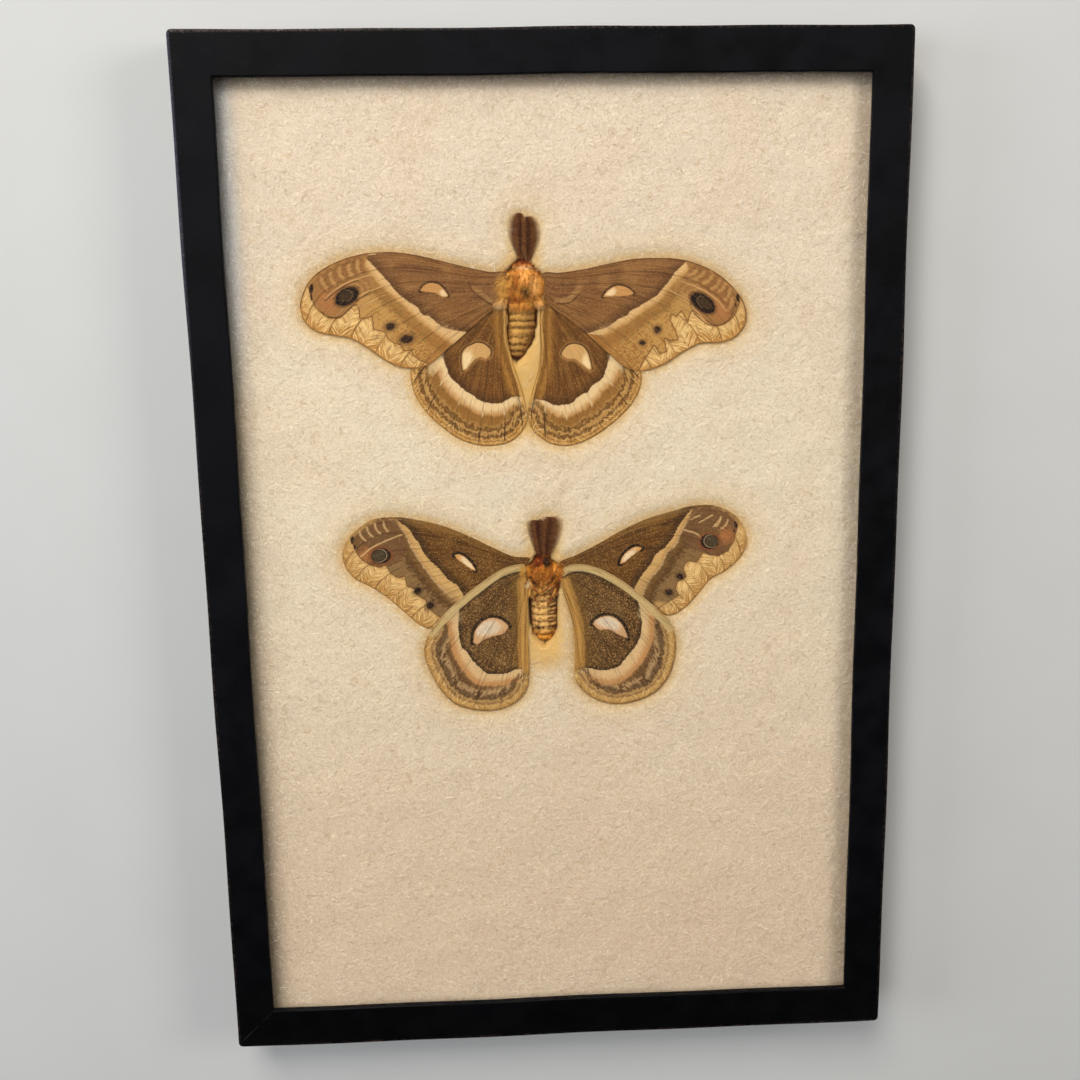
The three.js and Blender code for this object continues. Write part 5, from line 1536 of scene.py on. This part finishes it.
# %% Scatter and comb
def scatter(mesh, count, seed, lowest_normal=-0.2):
    draw = np.random.default_rng(seed)
    mesh.calc_loop_triangles()
    corners = np.empty(len(mesh.loop_triangles) * 3, dtype=int)
    mesh.loop_triangles.foreach_get("vertices", corners)
    a, b, c = (places_of(mesh)[corners.reshape(-1, 3)[:, k]] for k in range(3))
    normals = np.cross(b - a, c - a)
    area = np.linalg.norm(normals, axis=1)
    normals /= area[:, None] + 1e-12
    weight = area * (normals[:, 2] > lowest_normal)
    chosen = draw.choice(len(area), count, p=weight / weight.sum())
    u, v = np.sqrt(draw.random(count))[:, None], draw.random(count)[:, None]
    spots = a[chosen] * (1 - u) + b[chosen] * u * (1 - v) + c[chosen] * u * v
    return spots, normals[chosen], draw


def tufted(colours, roots, draw, seed):
    """Narrow lighter and darker locks, as fur parts into them."""
    lock = waves(roots * (1, 0.45, 1), 1.0, seed + 3) + 0.5 * waves(roots * (1, 0.6, 1), 0.5, seed + 4)
    colours = colours * draw.uniform(0.8, 1.2, (len(colours), 1))
    colours = lay(colours, tint(116, 56, 12), ramp(lock, 0.0, -0.8) * 0.7)
    colours = lay(colours, colours * 1.5 + 0.03, ramp(lock, 0.2, 1.0))
    return colours / np.maximum(1, colours.max(axis=1, keepdims=True) / 0.92)


def grow_fur(name, form, body, colour_at, count, seed):
    roots, normals, draw = scatter(form, count, seed)
    spine = np.interp(roots[:, 1], *zip(*body["spine"]))
    thorax = ramp(roots[:, 1], body["waist"] - 1.5, body["waist"] + 0.5)
    head = ramp(roots[:, 1], body["nose"] - 3.4, body["nose"] - 2.2)
    outwards = (roots[:, 0] - spine) / 5
    tuft = waves(roots, 2.6, seed)
    way = np.column_stack([
        outwards * lerp(0.35, 1.1, thorax) + tuft * 0.45,
        -1 + 0.35 * waves(roots, 3.1, seed + 1) * thorax + head * 0.9,
        0.1 + 0.2 * thorax + 0 * tuft,
    ])
    way += normals * 0.28 + draw.normal(0, 0.16, (count, 3))
    way /= np.linalg.norm(way, axis=1, keepdims=True)
    length = lerp(0.8, 1.9, thorax) * lerp(1.0, 0.5, head) * draw.uniform(0.6, 1.2, count)
    bend = np.column_stack([0 * tuft, 0 * tuft, -0.3 * length]) + draw.normal(0, 0.1, (count, 3))
    tip = roots + way * length[:, None]
    colours = tufted(colour_at(lerp(roots, tip, 0.35)), roots, draw, seed)
    ceiling = GLASS_UNDERSIDE - (0.2 if body["legs"] else 0.04)
    return strands(name, roots - normals * 0.1, way * length[:, None], bend, 0.07, colours, ceiling)


def grow_tufts(name, body, colour_at, seed):
    """Loose fur over the roots of the wings, where it lies on the scales."""
    draw = np.random.default_rng(seed)
    roots, ways = [], []
    for x, y, half_x, half_y, way_x, way_y, length, count in body["tufts"]:
        spots = draw.normal(0, 0.5, (count, 2)) * (half_x, half_y) + (x, y)
        roots.append(np.column_stack([spots, np.full(count, UPPER_LAYER + WING_SOLID - 0.1)]))
        leaning = np.column_stack([draw.normal(way_x, 0.25, count), draw.normal(way_y, 0.25, count),
                                   draw.uniform(0.0, 0.1, count)])
        ways.append(leaning * length * draw.uniform(0.5, 1.1, (count, 1)))
    roots, ways = np.vstack(roots), np.vstack(ways)
    bends = draw.normal(0, 0.15, ways.shape) * (1, 1, 0.2)
    colours = tufted(colour_at(roots), roots, draw, seed)
    return strands(name, roots, ways, bends, 0.07, colours, GLASS_UNDERSIDE - 0.04)


def join_meshes(name, meshes):
    bm = bmesh.new()
    for mesh in meshes:
        bm.from_mesh(mesh)
        bpy.data.meshes.remove(mesh)
    return to_mesh(bm, name)


def build_body(name, body, colour_at, count, seed):
    form = to_mesh(body_form(body), name + " skin")
    spots = places_of(form)
    skin = colour_at(spots)
    if body["legs"]:
        joints = ramp(waves(spots, 1.6, seed), 0.0, 0.8)
        legs = lerp(tint(120, 52, 14), tint(200, 120, 44), joints[:, None] * 0.7)
        skin = lerp(skin, legs, ramp(spots[:, 2], LEG_LEVEL - 0.1, LEG_LEVEL)[:, None])
    set_colours(form, "fur", skin * 1.2)
    form.shade_smooth()
    fur = grow_fur(name + " fur", form, body, colour_at, count, seed)
    tufts = grow_tufts(name + " tufts", body, colour_at, seed)
    return make_piece(join_meshes(name, [form, fur, tufts]), name.replace("_body", "_furry_body"),
                      fur_material, [name])


STRANDS_ON_A_BODY = 8800
build_body("upper_moth_body", UPPER_BODY, upper_fur, STRANDS_ON_A_BODY, 11)
build_body("lower_moth_body", LOWER_BODY, lower_fur, STRANDS_ON_A_BODY, 12)


# %% [markdown]
# ## Antennae
# A male silk moth's antennae are feathers: a thin shaft with two close rows of fine side branches, which
# lean towards the tip. The branches are strands again, and the shaft is a row of thicker ones.

# %% Feathered antennae
ANTENNAE = {
    "upper_moth_antenna_left": ((-7.9, 90.2), (-7.8, 103.0), 3.7, 1.9, 14.05, 0.25, 0.5),
    "upper_moth_antenna_right": ((-6.0, 89.6), (-5.9, 102.0), 2.0, 3.7, 14.12, 0.25, 0.5),
    "lower_moth_antenna_left": ((-3.8, 3.8), (-4.9, 14.2), 3.1, 2.9, 14.0, 0.55, 0.75),
    "lower_moth_antenna_right": ((-2.4, 3.8), (-1.0, 15.2), 2.9, 4.0, 14.42, 0.5, 0.62),
}
BRANCHES = 84


def antenna_finish():
    feather = Finish("antenna brown", 0.6, specular=0.12)
    base = feather.node("Attribute", attribute_name="fur").outputs["Color"]
    mottle = feather.fade(feather.noise(1700, 2), 0.4, 0.7, 0.0, 0.3)
    return feather.wear(feather.mix(base, tint(150, 98, 52), mottle))


antenna_material = antenna_finish()


def build_antenna(name, base, tip, left, right, level, narrow, widest, seed):
    draw = np.random.default_rng(seed)
    base, tip = np.array([*base, level + 0.12]), np.array([*tip, level + 0.12])
    along = tip - base
    length = np.linalg.norm(along)
    along /= length
    roots, ways, bends, colours = [], [], [], []
    for side, reach in ((-1, left), (1, right)):
        aside = np.array([along[1], -along[0], 0]) * side
        for i in range(BRANCHES):
            share = (i + 0.5) / BRANCHES
            opening = narrow + (1 - narrow) * math.sin(min(share / widest, 1) * math.pi / 2)
            full = reach * opening * (1 - max(0.0, (share - widest) / (1.03 - widest)) ** 2.2) ** 0.6
            branch = full * (1.14 if i % 3 == 0 else draw.uniform(0.78, 0.9))
            paint = lerp(tint(88, 46, 22), tint(132, 84, 44), draw.random())
            for reached, lifted, dye in ((branch, 0.0, paint), (full * 0.3, 0.08, tint(70, 32, 12))):
                roots.append(base + along * length * share + np.array([0, 0, lifted]))
                ways.append(aside * reached * 0.95 + along * reached * 0.1)
                bends.append(along * reached * 0.34 + np.array([0, 0, draw.uniform(-0.06, 0.06)]))
                colours.append(dye)
    pieces = 6
    for i in range(pieces):
        roots.append(base + along * length * i / pieces)
        ways.append(along * length / pieces * 1.5)
        bends.append(np.zeros(3))
        colours.append(tint(70, 34, 14))
    radius = np.array([0.15, 0.08] * (2 * BRANCHES) + [0.2 - 0.02 * i for i in range(pieces)])
    mesh = strands(name, *(np.array(part) for part in (roots, ways, bends)), radius, np.array(colours))
    return make_piece(mesh, name.replace("moth_", "moth_feathered_"), antenna_material, [name])


for seed, (name, sizes) in enumerate(ANTENNAE.items()):
    build_antenna(name, *sizes, seed + 30)


# %% [markdown]
# ## Cotton batting
# The cotton swells up to the glass between the moths and is pressed down under them, so they lie in
# shallow beds with soft rims. The sheet's height is worked out from the distance to the moths' outlines.
# It is yellow where the moths' oils have soaked in. Its colour is painted darker towards the bottom as shade,
# and along the walls with the lid's painted shadow, which turns to a bluish painted reflection at the upper left.

# %% Distance of the cotton from the moths
PAD_QUAD = 0.85
BESIDE_BODIES = [[(-8, 84), (-8, 62), (-7.2, 46)], [(-3.5, 0), (-3, -26)]]


def near_moths(points):
    """Distance from the nearest wing, body or antenna, negative under it."""
    distance = np.full(len(points), 99.0)
    for wing in WINGS.values():
        distance = np.minimum(distance, from_region(points, wing["edge"]))
    for body in (UPPER_BODY, LOWER_BODY):
        spine = [(np.interp(y, *zip(*body["spine"])), y) for y in np.linspace(body["tail"][0] + 3, body["nose"] - 1, 9)]
        distance = np.minimum(distance, from_line(points, spine) - 3.6)
    for base, tip, left, right, *_ in ANTENNAE.values():
        far = lerp(np.array(base), np.array(tip), 0.78)
        distance = np.minimum(distance, from_line(points, [base, far]) - (left + right) / 2 * 0.8)
    return distance


# %% Build the batting
def pad_mesh():
    size = pad_high - pad_low
    middle = (pad_low + pad_high) / 2
    bm = bmesh.new()
    bmesh.ops.create_grid(bm, x_segments=int(size[0] / PAD_QUAD), y_segments=int(size[1] / PAD_QUAD), size=0.5)
    bmesh.ops.scale(bm, vec=(size[0], size[1], 1), verts=bm.verts)
    bmesh.ops.translate(bm, vec=(middle[0], middle[1], 0), verts=bm.verts)
    rim = [edge for edge in bm.edges if edge.is_boundary]
    skirt = bmesh.ops.extrude_edge_only(bm, edges=rim)["geom"]
    low_verts = [part for part in skirt if isinstance(part, bmesh.types.BMVert)]
    bmesh.ops.translate(bm, vec=(0, 0, -100), verts=low_verts)
    bmesh.ops.holes_fill(bm, edges=[part for part in skirt if isinstance(part, bmesh.types.BMEdge)
                                    and part.is_boundary], sides=0)
    return to_mesh(bm, "batting")


def pad_height(points, moths):
    swell = 0.16 * waves(points, 26, 3) + 0.1 * waves(points, 9, 4) + 0.07 * waves(points, 3.4, 9)
    crest = 14.5 + swell
    under = 13.86
    share = ramp(moths, -0.6, 4.2)
    height = lerp(under, crest, share * share * (3 - 2 * share))
    wall = np.minimum(pad_high[0] - np.abs(points[:, 0]), pad_high[1] - np.abs(points[:, 1]))
    fall = np.exp(-np.clip(wall, 0, None) / 2.6)
    return np.minimum(height - 2.2 * fall, GLASS_UNDERSIDE - 0.03)


def pocket_floor(points, height):
    """The cotton gives way under each body."""
    for body in (UPPER_BODY, LOWER_BODY):
        y = points[:, 1]
        spine = np.interp(y, *zip(*body["spine"]))
        profile = [(body["tail"][0] - 1.2, 0), *body["rings"], *body["front"], (body["nose"] + 1.2, 0)]
        radius = np.interp(y, *zip(*profile)) + 0.35
        aside = np.abs(points[:, 0] - spine)
        depth = BODY_MIDDLE - 0.75 * np.sqrt(np.clip(radius**2 - aside**2, 0, None))
        held = (aside < radius) & (y > profile[0][0]) & (y < profile[-1][0])
        height = np.where(held, np.minimum(height, depth), height)
    return height


# %% Finish of the cotton
def cotton_finish():
    cotton = Finish("cotton batting", 0.95, specular=0.08, Sheen_Weight=0.06, Sheen_Roughness=0.6)
    spot = cotton.node("SeparateXYZ")
    cotton.feed(spot.inputs[0], cotton.place())
    # Painted shade: tan and darker towards the bottom of the case, and a little darker at the very top, as the light
    # falls along the cotton.
    lower = cotton.fade(spot.outputs[1], 0.03, -0.12)
    colour = cotton.mix(tint(237, 220, 193), tint(227, 203, 174), lower)
    upper = cotton.fade(spot.outputs[1], 0.03, 0.11)
    colour = cotton.mix(colour, tint(231, 213, 189), upper)
    blotches = cotton.fade(cotton.noise(45, 2), 0.4, 0.72, 0.0, 0.3)
    colour = cotton.mix(colour, tint(226, 198, 170), blotches)
    wide_stain = cotton.fade(cotton.field("moths"), 11.0, 0.0, 0.0, 0.4)
    colour = cotton.mix(colour, tint(226, 196, 138), wide_stain)
    stain = cotton.fade(cotton.field("moths"), 3.2, 0.0, 0.0, 0.65)
    colour = cotton.mix(colour, tint(220, 174, 98), stain)
    flecks = cotton.fade(cotton.noise(700, 2), 0.56, 0.76, 0.0, 0.6)
    colour = cotton.mix(colour, tint(248, 234, 208), flecks)
    grime = cotton.fade(cotton.noise(520, 2), 0.42, 0.24, 0.0, 0.5)
    colour = cotton.mix(colour, tint(204, 176, 138), grime)
    # Painted shadow of the lid along the window's left, right and top edges; on the left it turns bluish towards the
    # top, a painted reflection of the cool light.
    painted_wall_shade_and_reflection = cotton.mix(tint(140, 127, 108), tint(158, 172, 186), cotton.fade(spot.outputs[1], 0.04, 0.09))
    colour = cotton.mix(colour, painted_wall_shade_and_reflection, cotton.fade(spot.outputs[0], -0.0835, -0.0898, 0.0, 0.68))
    colour = cotton.mix(colour, tint(140, 120, 96), cotton.fade(spot.outputs[0], 0.0845, 0.09, 0.0, 0.5))
    colour = cotton.mix(colour, tint(130, 112, 92), cotton.fade(spot.outputs[1], 0.136, 0.1395, 0.0, 0.6))
    felt = cotton.noise(1300, 2, distortion=1.4)
    colour = cotton.mix(colour, tint(190, 160, 120), cotton.fade(felt, 0.48, 0.32, 0.0, 0.36))
    colour = cotton.mix(colour, tint(252, 238, 212), cotton.fade(felt, 0.54, 0.7, 0.0, 0.42))
    beside = cotton.fade(cotton.field("bodies"), 10.0, 2.0, 0.0, 0.85)
    colour = cotton.mix(colour, tint(226, 180, 100), beside)
    lumps = cotton.sum("ADD", cotton.noise(420, 3, distortion=0.8), cotton.sum("MULTIPLY", felt, 0.5))
    return cotton.wear(colour, bump=cotton.bump(lumps, 0.95, 0.5))


# %% Lay the cotton in the tray
cotton_material = cotton_finish()
batting = pad_mesh()
spots = places_of(batting)
is_top = spots[:, 2] > -50
moths = near_moths(spots[:, :2])
heights = pocket_floor(spots[:, :2], pad_height(spots[:, :2], moths))
spots[:, 2] = np.where(is_top, heights, pad_low[2])
set_places(batting, spots)
set_field(batting, "moths", moths)
set_field(batting, "bodies", np.min([from_line(spots[:, :2], line) for line in BESIDE_BODIES], axis=0))
batting.shade_smooth()
pad = make_piece(batting, "cotton_pad", cotton_material, ["batting"])


# %% [markdown]
# ## Loose fibres
# Close up, cotton is never smooth: single fibres curl out of it and catch the light. They lie almost
# flat, because the glass presses on them, and they keep clear of the moths.

# %% Fibres on the cotton
def build_fibres(count, seed):
    draw = np.random.default_rng(seed)
    spots = draw.uniform(-1, 1, (count * 2, 2)) * (pad_high[:2] - 2)
    gap = near_moths(spots)
    spots, gap = spots[gap > 1.2][:count], gap[gap > 1.2][:count]
    turn = draw.uniform(0, 2 * math.pi, len(spots))
    length = draw.uniform(0.8, 3.2, len(spots))
    ways = np.column_stack([np.cos(turn) * length, np.sin(turn) * length, draw.uniform(0, 0.15, len(spots))])
    bends = draw.normal(0, 0.6, (len(spots), 3)) * [1, 1, 0.05]
    roots = np.column_stack([spots, pad_height(spots, gap) + 0.02])
    colours = lerp(tint(255, 248, 232), tint(206, 180, 142), draw.random((len(spots), 1)))
    mesh = strands("loose fibres", roots, ways, bends, 0.06, colours, GLASS_UNDERSIDE - 0.02)
    return make_piece(mesh, "loose_cotton_fibres", fibre_material)


def fibre_finish():
    fibre = Finish("cotton fibre", 0.7, specular=0.2, Sheen_Weight=0.3)
    base = fibre.node("Attribute", attribute_name="fur").outputs["Color"]
    return fibre.wear(fibre.mix(base, tint(255, 250, 238), fibre.fade(fibre.noise(300), 0.45, 0.75, 0.0, 0.6)))


fibre_material = fibre_finish()
build_fibres(8500, 21)


# %% [markdown]
# ## Finish
# The visual model's box is kept beside the plain one's, so that the two can be compared.

# %% Sizes of both models
sizes = [[list(corner) for corner in bounds] for bounds in (cad_bounds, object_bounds())]
